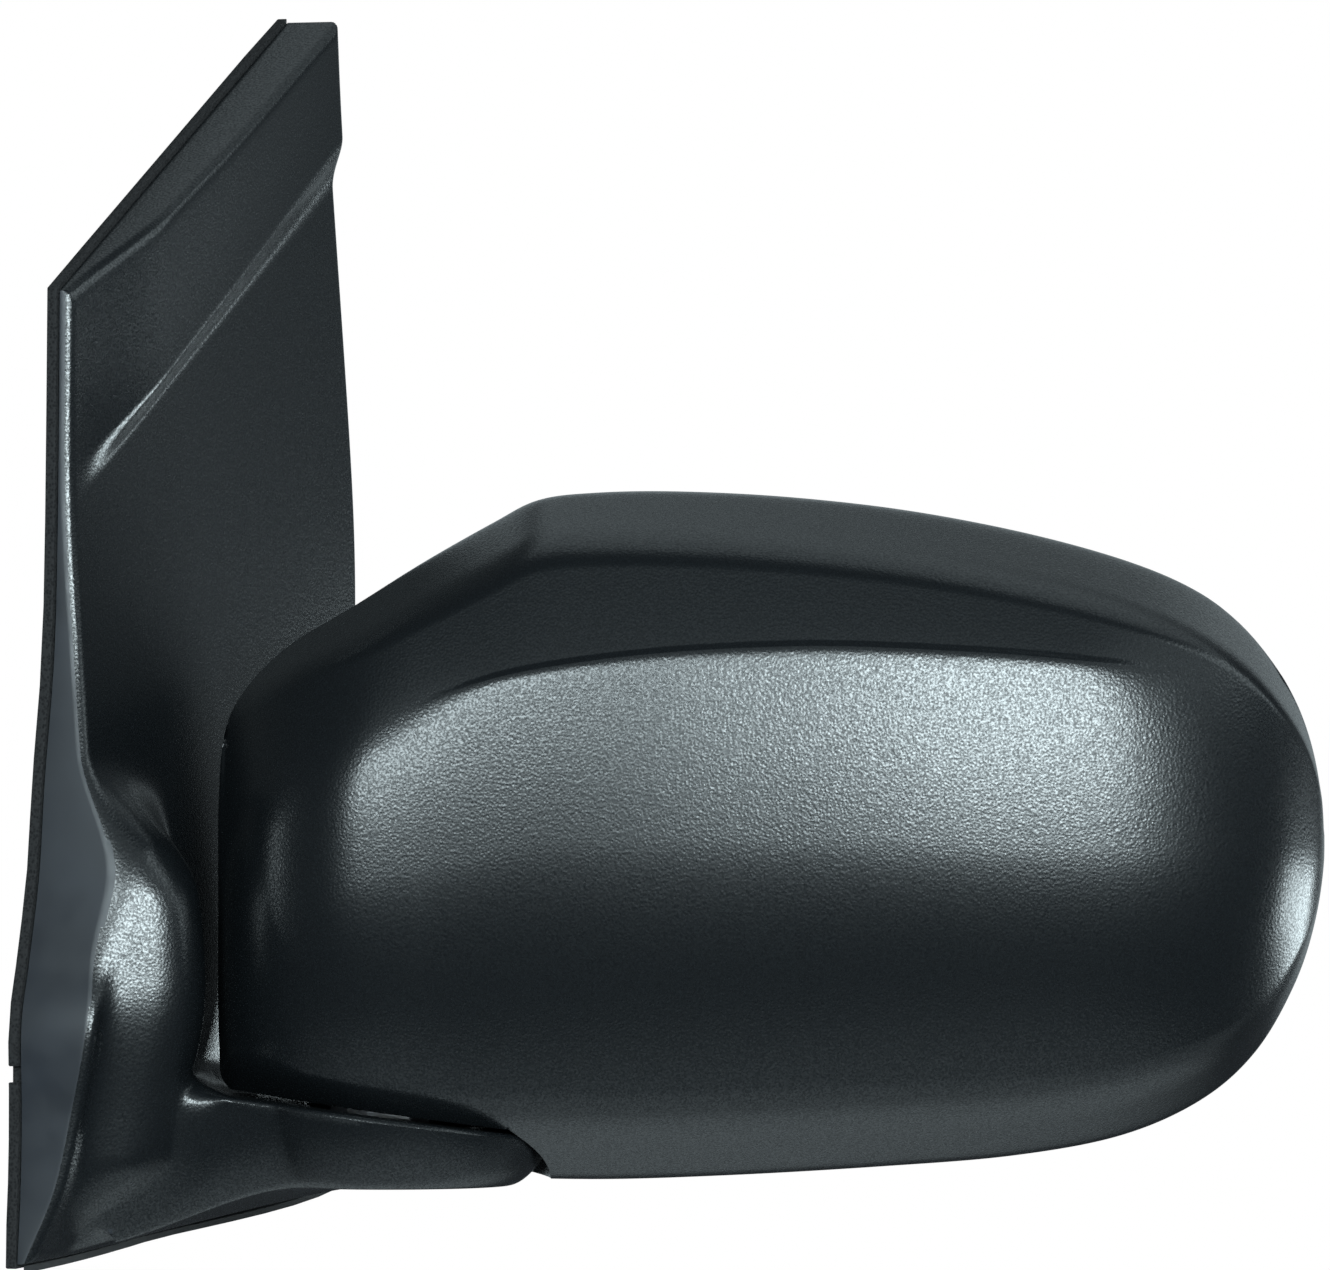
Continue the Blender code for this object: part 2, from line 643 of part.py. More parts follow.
def sail_cover(base):
    cover = sail_block("sail_cover", 0.0, SAIL_RIM, 9, 19)
    join(cover, foot_block("foot_skin", 0.0, 22, 8.0))
    cut(cover, sail_block("sail_hollow", WALL, -8.0, 5, 10))
    cut(cover, foot_block("foot_hollow", WALL, 14, 5.0))
    opening = turned("foot_opening", [(0, -6), (PIVOT_OPENING, -6), (PIVOT_OPENING, 6), (0, 6)], AXIS,
                     textured_black())
    cut(cover, opening)
    for i, (rearwards, up) in enumerate(COVER_SCREWS):
        join(cover, cover_boss(i + 1, rearwards, up))
        bore = turned(f"cover_bore_{i + 1}", [(0, -2), (2.1, -2), (2.1, 4.0), (0, 4.0)],
                      at(DOOR, (4.4, rearwards, up), (1, 0, 0)), textured_black(), segments=12)
        cut(cover, bore)
    put_under(cover, base)
    return cover


def sail_depth(rearwards, up):
    """Depth of the sail's outer face over a place on the door."""
    across = np.linspace(0, 1, 60)
    rows = np.linspace(0, len(SAIL_FRONT) - 1, 120)
    face = sail_face(*np.meshgrid(across, rows)).reshape(-1, 3)
    nearest = np.argmin(np.hypot(face[:, 1] - rearwards, face[:, 2] - up))
    return face[nearest, 0]


def cover_boss(number, rearwards, up):
    """A screw post from the bracket face to the inside of the cover."""
    length = sail_depth(rearwards, up) - WALL / 2 - 4.4
    return turned(f"cover_boss_{number}", [(0, 0), (4.2, 0), (4.4, length), (0, length)],
                  at(DOOR, (4.4, rearwards, up), (1, 0, 0)), textured_black(), segments=16)


# ---- pieces fixed to the door -------------------------------------------------------------------

def base_bracket(base):
    """Die-cast bracket: mounting plate, arm inside the foot and the seat of the fold pivot."""
    plate = prism(
        "base_bracket",
        [(-54, -74), (44, -64), (48, -30), (48, 28), (24, 60), (-34, 52), (-44, 8), (-56, -30)],
        0.0, 4.0, "X", DOOR, die_cast(),
    )
    centre = HEAD @ Vector(PIVOT)
    arm_low = [(1.0, -42, -72), (1.0, -5, -72), (1.0, -5, -53), (1.0, -42, -53)]
    arm_high = [(centre.x, -26, -66.8), (centre.x, -5, -66.8), (centre.x, -5, -60.4), (centre.x, -26, -60.4)]
    join(plate, add_solid("bracket_arm", *stacked([arm_low, arm_high]), DOOR, die_cast()))
    join(plate, turned("pivot_seat", [(0, -9.8), (18.4, -9.8), (19.0, -2.2), (0, -2.2)], AXIS, die_cast()))
    for i, (rearwards, up) in enumerate(STUDS):
        join(plate, turned(f"stud_boss_{i + 1}", [(0, 1), (8.0, 1), (7.4, 8.5), (0, 8.5)],
                           at(DOOR, (0, rearwards, up), (1, 0, 0)), die_cast(), segments=20))
    rib = [(10, -56), (10, 54), (14, 54), (14, -56)]
    join(plate, prism("plate_rib", rib, 1.0, 9.0, "X", DOOR, die_cast()))
    for i, (rearwards, up) in enumerate(STUDS):
        cut(plate, turned(f"stud_bore_{i + 1}", [(0, -2), (3.9, -2), (3.9, 5.0), (0, 5.0)],
                          at(DOOR, (0, rearwards, up), (1, 0, 0)), die_cast(), segments=16))
    for i, (rearwards, up) in enumerate(COVER_SCREWS[:2]):
        cut(plate, turned(f"screw_hole_{i + 1}", [(0, -2), (4.4, -2), (4.4, 2.4), (2.3, 2.4), (2.3, 6), (0, 6)],
                          at(DOOR, (0, rearwards, up), (1, 0, 0)), die_cast(), segments=16))
    bore = [(0, -30), (13.2, -30), (13.2, -8.9), (10.3, -8.9), (10.3, 3), (0, 3)]
    cut(plate, turned("pivot_bore", bore, AXIS, die_cast()))
    channel_low = [(5.0, -21, -90), (5.0, -11, -90), (5.0, -11, -58), (5.0, -21, -58)]
    channel_high = [(centre.x + 2, -15.3, -90), (centre.x + 2, -5.3, -90), (centre.x + 2, -5.3, -61.5),
                    (centre.x + 2, -15.3, -61.5)]
    cut(plate, add_solid("wire_channel", *stacked([channel_low, channel_high]), DOOR, die_cast()))
    cut(plate, turned("grommet_hole", [(0, -2), (5.5, -2), (5.5, 8), (0, 8)],
                      at(DOOR, (0, *GROMMET), (1, 0, 0)), die_cast(), segments=20))
    put_under(plate, base)
    return plate


def edge_loop(outwards, rows):
    """Outline of the sail on the door, grown by a distance."""
    top = len(SAIL_FRONT) - 1
    levels = np.linspace(0, top, rows)
    front = curve_through(SAIL_FRONT, levels)
    rear = curve_through(SAIL_REAR, levels)
    across = np.linspace(0, 1, 8)[1:-1]
    bottom = sail_face(across[::-1], np.zeros(6))[:, 1:]
    upper = sail_face(across, np.full(6, float(top)))[:, 1:]
    return inset(np.vstack([front, upper, rear[::-1], bottom]), -outwards)


def ring_plate(name, outer, inner, low, high, frame, finish, place):
    """A flat ring between two outlines with matching points."""
    rings = [[place(p, d) for p in outline] for outline, d in
             ((outer, low), (outer, high), (inner, high), (inner, low))]
    points, faces = stacked(rings, cap_low=False, cap_high=False)
    size = len(outer)
    faces += between(list(range(3 * size, 4 * size)), list(range(size)))
    return add_solid(name, points, faces, frame, finish)


def door_gasket(base):
    """Foam ring squeezed between the cover's rim and the door, just proud of the cover."""
    gasket = ring_plate("door_gasket", edge_loop(1.1, 17), edge_loop(-3.6, 17), 0.0, 2.4, DOOR, foam(),
                        lambda p, d: (d, p[0], p[1]))
    notch = box("gasket_notch", (-1, -80, -48), (4, -68.6, -44.5), DOOR, foam())
    cut(gasket, notch)
    put_under(gasket, base)
    return gasket


def bottom_seal(base):
    """Rubber lip that hangs below the cover's lower edge and closes the gap to the door skin."""
    across = np.linspace(0.02, 0.98, 14)
    edge = sail_face(across, np.zeros(14))
    rings = []
    for x, y, z in edge:
        deep = 3.0 + 15.0 * ease(-20.0, 50.0, y)
        rings.append([(2.9, y, z - 0.6), (2.9, y, z - 2.2), (deep, y, z - 1.9), (deep, y, z - 0.6)])
    seal = add_solid("bottom_seal", *stacked(rings), DOOR, rubber(), base)
    return seal


def sail_back_plate(base):
    """Plastic plate that closes the tall part of the sail above the bracket."""
    plate = prism("sail_back_plate", [(-30, 66), (20, 68), (52, 44), (53, 172), (-34, 121)], 1.8, 3.9, "X", DOOR,
                  smooth_black())
    rearwards, up = COVER_SCREWS[2]
    for i, offset in enumerate((-4.0, 14.0)):
        top = 120 + offset * 0.5
        rib = box(f"back_rib_{i + 1}", (3.0, offset, 76), (5.6, offset + 2.0, top), DOOR, smooth_black())
        join(plate, rib)
    cut(plate, turned("back_plate_hole", [(0, -2), (2.3, -2), (2.3, 6), (0, 6)],
                      at(DOOR, (0, rearwards, up), (1, 0, 0)), smooth_black(), segments=16))
    put_under(plate, base)
    return plate


def mount_studs(base):
    for i, (rearwards, up) in enumerate(STUDS):
        turned(f"mount_stud_{i + 1}",
               [(0, 4.6), (3.5, 4.6), (3.5, -0.5), (3.0, -1.0), (3.0, -20.0), (2.2, -21.5), (0, -21.5)],
               at(DOOR, (0, rearwards, up), (1, 0, 0)), steel(), base, segments=16)


def pan_head_screw(name, frame, length, parent, head_radius=3.9, shank=1.7):
    """A screw with a domed cross-recess head; the frame's Z points from the head to the tip."""
    screw = turned(name, [(0, -1.6), (head_radius * 0.6, -1.45), (head_radius, -0.7), (head_radius, 0),
                          (shank, 0), (shank, length - 1.5), (0.5, length), (0, length)],
                   frame, steel(), parent, segments=10)
    for i, (wide, deep) in enumerate(((0.5, 1.9), (1.9, 0.5))):
        recess = box(f"{name}_recess_{i + 1}", (-wide, -deep, -3.0), (wide, deep, -0.8), frame, steel(), parent)
        cut(screw, recess)
    return screw


def cover_screws(base):
    for i, (rearwards, up) in enumerate(COVER_SCREWS):
        seat = 2.1 if i < 2 else 1.8
        length = 6.0
        pan_head_screw(f"cover_screw_{i + 1}", at(DOOR, (seat, rearwards, up), (1, 0, 0)), length, base,
                       head_radius=3.6)


def pivot_tube(base):
    """Hollow pivot flanged under the bracket seat; the head's hub, the spring and the wires share it."""
    tube = turned("pivot_tube",
                  [(6.4, -10.4), (12.7, -10.4), (12.7, -9.2), (9.9, -9.2), (9.9, 31.8), (9.1, 31.8),
                   (9.1, 33.6), (9.9, 33.6), (9.9, 36.0), (6.4, 36.0)], AXIS, steel(), segments=22)
    door_side = AXIS @ Matrix.Rotation(math.radians(180 - HEAD_RAKE), 4, "Z")
    cut(tube, box("wire_slot", (2.0, -2.7, -14), (16.0, 2.7, -5.4), door_side, steel()))
    put_under(tube, base)


def detent_lower(base):
    """Ring fixed to the bracket, with three ramps that hold the head at its driving position."""
    ring = turned("detent_ring_lower", [(10.6, -1.9), (18.0, -1.9), (18.0, 0.6), (10.6, 0.6)], AXIS, steel())
    for i in range(3):
        lobe = box(f"detent_lobe_{i + 1}", (11.4, -2.4, 0.0), (17.2, 2.4, 1.5),
                   AXIS @ Matrix.Rotation(2 * math.pi * i / 3, 4, "Z"), steel())
        join(ring, lobe)
    put_under(ring, base)
    return ring


def spring_stop(base):
    turned("spring_washer", [(10.2, 30.0), (13.2, 30.0), (13.2, 31.5), (10.2, 31.5)], AXIS, steel(), base)
    ring = turned("retaining_ring", [(9.4, 32.0), (12.6, 32.0), (12.6, 33.4), (9.4, 33.4)], AXIS,
                  spring_steel())
    cut(ring, box("ring_slot", (5, -3.0, 31), (16, 3.0, 35), AXIS, spring_steel()))
    put_under(ring, base)


def wire_grommet(base):
    return turned("wire_grommet",
                  [(2.3, -3.6), (4.2, -3.6), (4.9, -0.6), (4.5, 0.4), (5.1, 1.2), (5.1, 4.9), (2.3, 4.9)],
                  at(DOOR, (0, *GROMMET), (1, 0, 0)), rubber(), base, segments=20)


def on_axis(height):
    """A place on the fold axis, in the door frame."""
    return AXIS @ Vector((0, 0, height * MM)) / MM


def harness_lower(base):
    """Fixed half of the wiring: down inside the pivot, along the bracket's channel, into the grommet."""
    path = smooth_path([on_axis(-4.4), (61.2, -10.6, -62.8), (56.0, -11.0, -64.1), (45.0, -12.3, -64.4),
                        (26.0, -15.0, -63.9), (12.0, -16.0, -62.4), (1.0, -16.0, -62.0)], 4)
    return swept("harness_lower", path, 1.9, DOOR, wire_sleeve(), base)


# ---- pieces that fold with the head -------------------------------------------------------------

def head_carrier(fold):
    """Bracket inside the head: a hub on the pivot, a web and the plate for the actuator and the shell."""
    profile = [(10.3, 5.6), (18.0, 5.6), (18.0, 8.0), (14.5, 9.0), (14.5, 12.4), (10.3, 12.4)]
    hub = turned("head_carrier", profile, AXIS, grey_plastic())
    bore = turned("web_bore", [(0, 2), (13.6, 2), (13.6, 17), (0, 17)], AXIS, grey_plastic())
    web = [(50, -47), (56, -62.6), (74, -65.2), (90, -65.2), (90, -61.4), (74, -50), (66, -33), (52, -27)]
    join(hub, cut(prism("carrier_web", web, -46.4, -43.2, "Z", HEAD, grey_plastic()), bore))
    plate = [(74, -45.4), (110, -34), (198, -34), (202, 34), (176, 54), (98, 54), (74, 42)]
    join(hub, prism("carrier_plate", plate, -67.3, -64.0, "Y", HEAD, grey_plastic()))
    rib = [(70, -45.2), (93, -45.2), (93, 30)]
    join(hub, prism("carrier_rib", rib, -66.0, -61.0, "Y", HEAD, grey_plastic()))
    for i, (low, high) in enumerate((((108, -20), (128, 40)), ((142, -20), (162, 40)))):
        window = box(f"carrier_window_{i + 1}", (low[0], -70, low[1]), (high[0], -60, high[1]), HEAD,
                     grey_plastic())
        cut(hub, window)
    for i, (along, up) in enumerate(CARRIER_SCREWS):
        cut(hub, turned(f"carrier_hole_{i + 1}", [(0, -4), (2.4, -4), (2.4, 8), (0, 8)],
                        at(HEAD, (along, -62.0, up), (0, -1, 0)), grey_plastic(), segments=12))
    for i, (along, up) in enumerate(ACTUATOR_SCREWS):
        cut(hub, turned(f"actuator_hole_{i + 1}", [(0, -4), (2.1, -4), (2.1, 8), (0, 8)],
                        at(HEAD, (along, -62.0, up), (0, -1, 0)), grey_plastic(), segments=12))
    put_under(hub, fold)
    return hub


def carrier_screws(fold):
    for i, (along, up) in enumerate(CARRIER_SCREWS):
        pan_head_screw(f"carrier_screw_{i + 1}", at(HEAD, (along, -63.7, up), (0, -1, 0)), 11.0, fold)


def detent_upper(fold):
    """Ring under the head's hub; its notches stand over the ramps."""
    ring = turned("detent_ring_upper", [(10.6, 2.1), (18.0, 2.1), (18.0, 5.2), (10.6, 5.2)], AXIS, steel())
    for i in range(3):
        notch = box(f"detent_notch_{i + 1}", (9.0, -3.2, 1.0), (20.0, 3.2, 2.9),
                    AXIS @ Matrix.Rotation(2 * math.pi * i / 3, 4, "Z"), steel())
        cut(ring, notch)
    put_under(ring, fold)
    return ring


def fold_spring(fold):
    """Compression spring that presses the head's hub down onto the detent."""
    turns, low, high = 4.0, 14.0, 28.5
    steps = int(turns * 14)
    path = []
    for i in range(steps + 1):
        angle = 2 * math.pi * turns * i / steps
        path.append((11.6 * math.cos(angle), 11.6 * math.sin(angle), low + (high - low) * i / steps))
    return swept("fold_spring", path, 1.15, AXIS, spring_steel(), fold, segments=5)


def glass_bezel(fold):
    """Plate that finishes the rear opening of the shell, frames the glass and hides the fold pivot."""
    rim = head_rear_ring(inset(evenly_round(HEAD_OUTLINE, HOLLOW_RAYS), WALL), HEAD_REAR)[:, [0, 2]]
    back = HEAD_PLANE + HEAD_REAR
    bezel = prism("glass_bezel", inset(rim, 0.5), back - 4.0, back - 0.8, "Y", HEAD, smooth_black())
    frame = [(x + GLASS_CENTRE[0], z + GLASS_CENTRE[2]) for x, z in glass_outline(-BEZEL_GAP, 40)]
    cut(bezel, prism("bezel_opening", frame, back - 9.0, back + 4.0, "Y", HEAD, smooth_black()))
    cut(bezel, foot_clearance("bezel_clearance", WALL + 0.5))
    put_under(bezel, fold)
    return bezel


def rounded_box(low, high, radius, steps=4):
    corners = [(high[0] - radius, high[1] - radius, 0), (low[0] + radius, high[1] - radius, 90),
               (low[0] + radius, low[1] + radius, 180), (high[0] - radius, low[1] + radius, 270)]
    return [
        (x + radius * math.cos(math.radians(start + 90 * i / steps)),
         y + radius * math.sin(math.radians(start + 90 * i / steps)))
        for x, y, start in corners
        for i in range(steps + 1)
    ]


def jack_places():
    """Where the tilt and pan jackscrews stand, relative to the glass centre."""
    return {"tilt": (0.0, JACK_RADIUS), "pan": (-JACK_RADIUS, 0.0)}


ACTUATOR_LOW, ACTUATOR_HIGH = (-48.0, -30.0), (36.0, 50.0)  # outline about the glass centre (along, up)
CASE_REAR, CASE_SPLIT, CASE_FRONT = -9.0, -24.0, -38.0  # forward of the aiming axes
CASE_WALL = 2.0


def actuator_half(name, low, high, open_low):
    """One half of the actuator case, a tray with its open side at the split."""
    outline = rounded_box(ACTUATOR_LOW, ACTUATOR_HIGH, 8.0, 3)
    inner = rounded_box([v + CASE_WALL for v in ACTUATOR_LOW], [v - CASE_WALL for v in ACTUATOR_HIGH], 6.0, 2)
    half = prism(name, outline, low, high, "Y", GLASS, grey_plastic())
    if open_low:
        hollow = prism(name + "_hollow", inner, low - 5, high - CASE_WALL, "Y", GLASS, grey_plastic())
    else:
        hollow = prism(name + "_hollow", inner, low + CASE_WALL, high + 5, "Y", GLASS, grey_plastic())
    return cut(half, hollow)


def actuator_case(fold):
    front = actuator_half("actuator_case_front", CASE_FRONT, CASE_SPLIT - 0.15, False)
    rear = actuator_half("actuator_case_rear", CASE_SPLIT + 0.15, CASE_REAR, True)
    for name, (along, up) in jack_places().items():
        cut(rear, turned(f"{name}_collar_bore", [(0, -5), (3.9, -5), (3.9, 5), (0, 5)],
                         at(GLASS, (along, CASE_REAR, up), (0, 1, 0)), grey_plastic(), segments=16))
    for side in (-1, 1):
        ear = box(f"pan_ear_{side + 2}", (-4.0, CASE_REAR - 1.0, 19.5 * side - 1.6),
                  (4.0, 4.0, 19.5 * side + 1.6), GLASS, grey_plastic())
        join(rear, ear)
    cut(rear, turned("pan_ear_bore", [(0, -30), (1.9, -30), (1.9, 30), (0, 30)], GLASS, grey_plastic(),
                     segments=12))
    for i, (along, up) in enumerate(ACTUATOR_SCREWS):
        place = (along, GLASS_CENTRE[1] + CASE_FRONT, up)
        join(front, turned(f"case_post_{i + 1}", [(0, -12), (3.6, -12), (3.6, 1), (0, 1)],
                           at(HEAD, place, (0, -1, 0)), grey_plastic(), segments=14))
        cut(front, turned(f"case_post_bore_{i + 1}", [(0, -9), (1.9, -9), (1.9, 3), (0, 3)],
                          at(HEAD, place, (0, -1, 0)), grey_plastic(), segments=12))
    slot = box("plug_slot", (ACTUATOR_LOW[0] - 3, -32.4, 2.6), (ACTUATOR_LOW[0] + 4, -27.6, 13.4), GLASS,
               grey_plastic())
    cut(front, slot)
    put_under(front, fold)
    put_under(rear, fold)


def actuator_screws(fold):
    for i, (along, up) in enumerate(ACTUATOR_SCREWS):
        pan_head_screw(f"actuator_screw_{i + 1}", at(HEAD, (along, -67.7, up), (0, 1, 0)), 11.5, fold,
                       head_radius=3.4, shank=1.5)


def motor(name, centre, direction, fold):
    """A small can motor with flats and a stub shaft towards the worm."""
    frame = at(GLASS, centre, direction)
    can = turned(name, [(0, -12.5), (3.0, -12.5), (3.0, -11.2), (8.6, -11.2), (9.0, -10.8), (9.0, 10.6),
                        (8.6, 11.0),
                        (3.0, 11.0), (3.0, 12.2), (0.9, 12.2), (0.9, 14.0), (0, 14.0)],
                 frame, steel(), segments=16)
    for i, low in enumerate((7.2, -12.0)):
        cut(can, box(f"{name}_flat_{i + 1}", (low, -12, -14), (low + 4.8, 12, 15.5), frame, steel()))
    put_under(can, fold)
    return can


def motors(fold):
    motor("motor_tilt", (WORM_OFFSET, WHEEL_PLANE, 6.0), (0, 0, 1), fold)
    motor("motor_pan", (-6.0, WHEEL_PLANE, -WORM_OFFSET), (-1, 0, 0), fold)


def actuator_plug(fold):
    """Connector body in the side of the actuator case."""
    plug = box("actuator_plug", (ACTUATOR_LOW[0] - 9, -32.0, 3.0), (ACTUATOR_LOW[0] + 3.5, -28.0, 13.0), GLASS,
               white_plastic())
    latch = box("plug_latch", (ACTUATOR_LOW[0] - 8, -28.5, 6.0), (ACTUATOR_LOW[0] - 3, -27.0, 10.0), GLASS,
                white_plastic())
    join(plug, latch)
    put_under(plug, fold)
    return plug


def harness_upper(fold):
    """Wiring that turns with the head: from the actuator over and down the middle of the pivot tube."""
    plug_end = GLASS @ (Vector((ACTUATOR_LOW[0] - 9.8, -30.0, 8.0)) * MM) / MM
    straight = GLASS @ (Vector((ACTUATOR_LOW[0] - 13.0, -30.0, 8.0)) * MM) / MM
    inward = HEAD @ Vector((69.0, -50.0, 5.0))
    path = smooth_path([plug_end, straight, inward, on_axis(56.0), on_axis(44.0),
                        on_axis(20.0), on_axis(-3.4)], 4)
    return swept("harness_upper", path, 2.1, DOOR, wire_sleeve(), fold)


# ---- pieces that aim with the glass -------------------------------------------------------------

def gimbal_ring(pan):
    """Ring that turns about the upright axis on the case and carries the glass about the level one."""
    ring = turned("gimbal_ring", [(12.0, -2.4), (16.4, -2.4), (16.4, 2.4), (12.0, 2.4)],
                  at(GLASS, (0, 0, 0), (0, 1, 0)), white_plastic(), segments=28)
    for i, direction in enumerate(((0, 0, 1), (0, 0, -1), (1, 0, 0), (-1, 0, 0))):
        pin = turned(f"gimbal_pin_{i + 1}", [(0, 14.5), (1.5, 14.5), (1.5, 21.6), (0, 21.6)],
                     at(GLASS, (0, 0, 0), direction), white_plastic(), segments=12)
        join(ring, pin)
    put_under(ring, pan)
    return ring


def glass_outline(drawn_in, count):
    """Outline of the glass about the glass centre, drawn in by a distance."""
    shape = inset(evenly_round(GLASS_OUTLINE, count), drawn_in)
    return [(x - GLASS_CENTRE[0], z - GLASS_CENTRE[2]) for x, z in shape]


def glass_pieces(tilt):
    prism("mirror_glass", glass_outline(0.0, 36), GLASS_BACK - 2.2, GLASS_BACK, "Y", GLASS, silvered_glass(),
          tilt)
    prism("glass_pad", glass_outline(3.0, 28), GLASS_BACK - 3.3, GLASS_BACK - 2.5, "Y", GLASS, foam(), tilt)
    holder = prism("glass_holder", glass_outline(1.0, 36), GLASS_BACK - 6.0, GLASS_BACK - 3.6, "Y", GLASS,
                   smooth_black())
    face = GLASS_BACK - 5.5
    rib = turned("holder_rib", [(40.5, -1.0), (42.5, -1.0), (42.5, 4.0), (40.5, 4.0)],
                 at(GLASS, (0, face, 0), (0, -1, 0)), smooth_black(), segments=36)
    join(holder, rib)
    for side in (-1, 1):
        low, high = (19.5 * side - 1.6, -3.4, -4.0), (19.5 * side + 1.6, face + 0.5, 4.0)
        join(holder, box(f"tilt_ear_{side + 2}", low, high, GLASS, smooth_black()))
    socket = [(0, -1.0), (6.7, -1.0), (6.3, face + 3.8), (3.3, face + 3.8), (3.3, face + 3.2),
              (4.9, face + 2.6), (4.9, face - 4.6), (0, face - 4.6)]
    for name, (along, up) in jack_places().items():
        cup = turned(f"{name}_socket", socket, at(GLASS, (along, face, up), (0, -1, 0)), smooth_black(),
                     segments=20)
        join(holder, cup)
    cut(holder, turned("tilt_ear_bore", [(0, -23), (1.9, -23), (1.9, 23), (0, 23)],
                       at(GLASS, (0, 0, 0), (1, 0, 0)), smooth_black(), segments=12))
    put_under(holder, tilt)
    return holder


def jackscrew(name, along, up, parent):
    """Threaded push rod with the ball that sits in the holder's socket."""
    ball = [(3.6 * math.sin(math.radians(a)), 3.6 * math.cos(math.radians(a))) for a in (0, 30, 60, 90, 120)]
    ball[0] = (0, 3.6)
    profile = ball + [(1.6, -3.3), (1.6, -7.5), (2.9, -8.0)]
    height = -10.0
    while height > -27.0:
        profile += [(2.9, height), (2.3, height - 1.2), (2.9, height - 2.4)]
        height -= 4.0
    profile += [(2.9, -31.6), (0, -31.6)]
    return turned(f"{name}_jackscrew", profile, at(GLASS, (along, 0, up), (0, 1, 0)), white_plastic(), parent,
                  segments=10)


def gear_outline(teeth, root, tip):
    outline = []
    for i in range(teeth):
        for share, radius in ((0.0, root), (0.3, root), (0.45, tip), (0.85, tip)):
            angle = 2 * math.pi * (i + share) / teeth
            outline.append((radius * math.cos(angle), radius * math.sin(angle)))
    return outline


def gear_wheel(name, along, up, parent):
    """Wheel with the nut thread of its jackscrew in the bore."""
    wheel = prism(f"{name}_wheel", gear_outline(18, 10.2, 11.5), WHEEL_PLANE - 3.0, WHEEL_PLANE + 3.0, "Y",
                  at(GLASS, (along, 0, up)), white_plastic())
    frame = at(GLASS, (along, WHEEL_PLANE, up), (0, 1, 0))
    join(wheel, turned(f"{name}_hub", [(0, -6.0), (5.6, -6.0), (5.6, 8.0), (0, 8.0)], frame, white_plastic(),
                       segments=20))
    cut(wheel, turned(f"{name}_nut", [(0, -9), (3.3, -9), (3.3, 11), (0, 11)], frame, white_plastic(),
                      segments=16))
    put_under(wheel, parent)
    return wheel


def worm(name, centre, direction, parent):
    """Worm pushed onto the motor shaft."""
    profile = [(1.2, -7.0), (2.4, -7.0)]
    height = -6.4
    while height < 5.0:
        profile += [(2.4, height), (3.4, height + 1.0), (2.4, height + 2.0)]
        height += 2.8
    profile += [(2.4, 7.0), (1.2, 7.0)]
    return turned(f"{name}_worm", profile, at(GLASS, centre, direction), steel(), parent, segments=10)


def aiming_drives(fold):
    """The jackscrews, their wheels and the worms, each under a frame on its own axis."""
    worm_places = {
        "tilt": ((WORM_OFFSET, WHEEL_PLANE, 27.0), (0, 0, 1)),
        "pan": ((-27.0, WHEEL_PLANE, -WORM_OFFSET), (-1, 0, 0)),
    }
    for name, (along, up) in jack_places().items():
        slide = add_joint_frame(f"{name}_screw_axis", at(GLASS, (along, 0, up), (0, 1, 0)))
        put_under(slide, fold)
        jackscrew(name, along, up, slide)
        turn = add_joint_frame(f"{name}_wheel_axis", at(GLASS, (along, WHEEL_PLANE, up), (0, 1, 0)))
        put_under(turn, fold)
        gear_wheel(name, along, up, turn)
        centre, direction = worm_places[name]
        spin = add_joint_frame(f"{name}_worm_axis", at(GLASS, centre, direction))
        put_under(spin, fold)
        worm(name, centre, direction, spin)


# ---- the whole mirror ---------------------------------------------------------------------------

def build():
    clear_scene()
    base = add_joint_frame("door_mount_frame", DOOR)
    fold = add_joint_frame("fold_axis_frame", AXIS)
    pan = add_joint_frame("glass_pan_axis", GLASS)
    tilt = add_joint_frame("glass_tilt_axis", at(GLASS, (0, 0, 0), (1, 0, 0)))
    put_under(pan, fold)
    put_under(tilt, pan)

    sail_cover(base)
    base_bracket(base)
    sail_back_plate(base)
    door_gasket(base)
    bottom_seal(base)
    mount_studs(base)
    cover_screws(base)
    pivot_tube(base)
    detent_lower(base)
    spring_stop(base)
    wire_grommet(base)
    harness_lower(base)

    head_shell(fold)
    glass_bezel(fold)
    head_carrier(fold)
    carrier_screws(fold)
    detent_upper(fold)
    fold_spring(fold)
    actuator_case(fold)
    actuator_screws(fold)
    motors(fold)
    actuator_plug(fold)
    harness_upper(fold)

    gimbal_ring(pan)
    glass_pieces(tilt)
    aiming_drives(fold)


build()
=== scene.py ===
"""Looks of a left-hand exterior car mirror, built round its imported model.

Door frame: X outboard from the door skin, Y towards the rear of the car, Z up.
Head frame: X along the head, Y rearwards out of the glass, Z up; the door frame turned by HEAD_RAKE.
Axis frame: Z along the fold axis, with 0 where the head and the foot part.
Sizes are millimetres unless a name says otherwise.
"""

import math

import bmesh
import bpy
import numpy as np
from mathutils import Matrix, Vector, kdtree


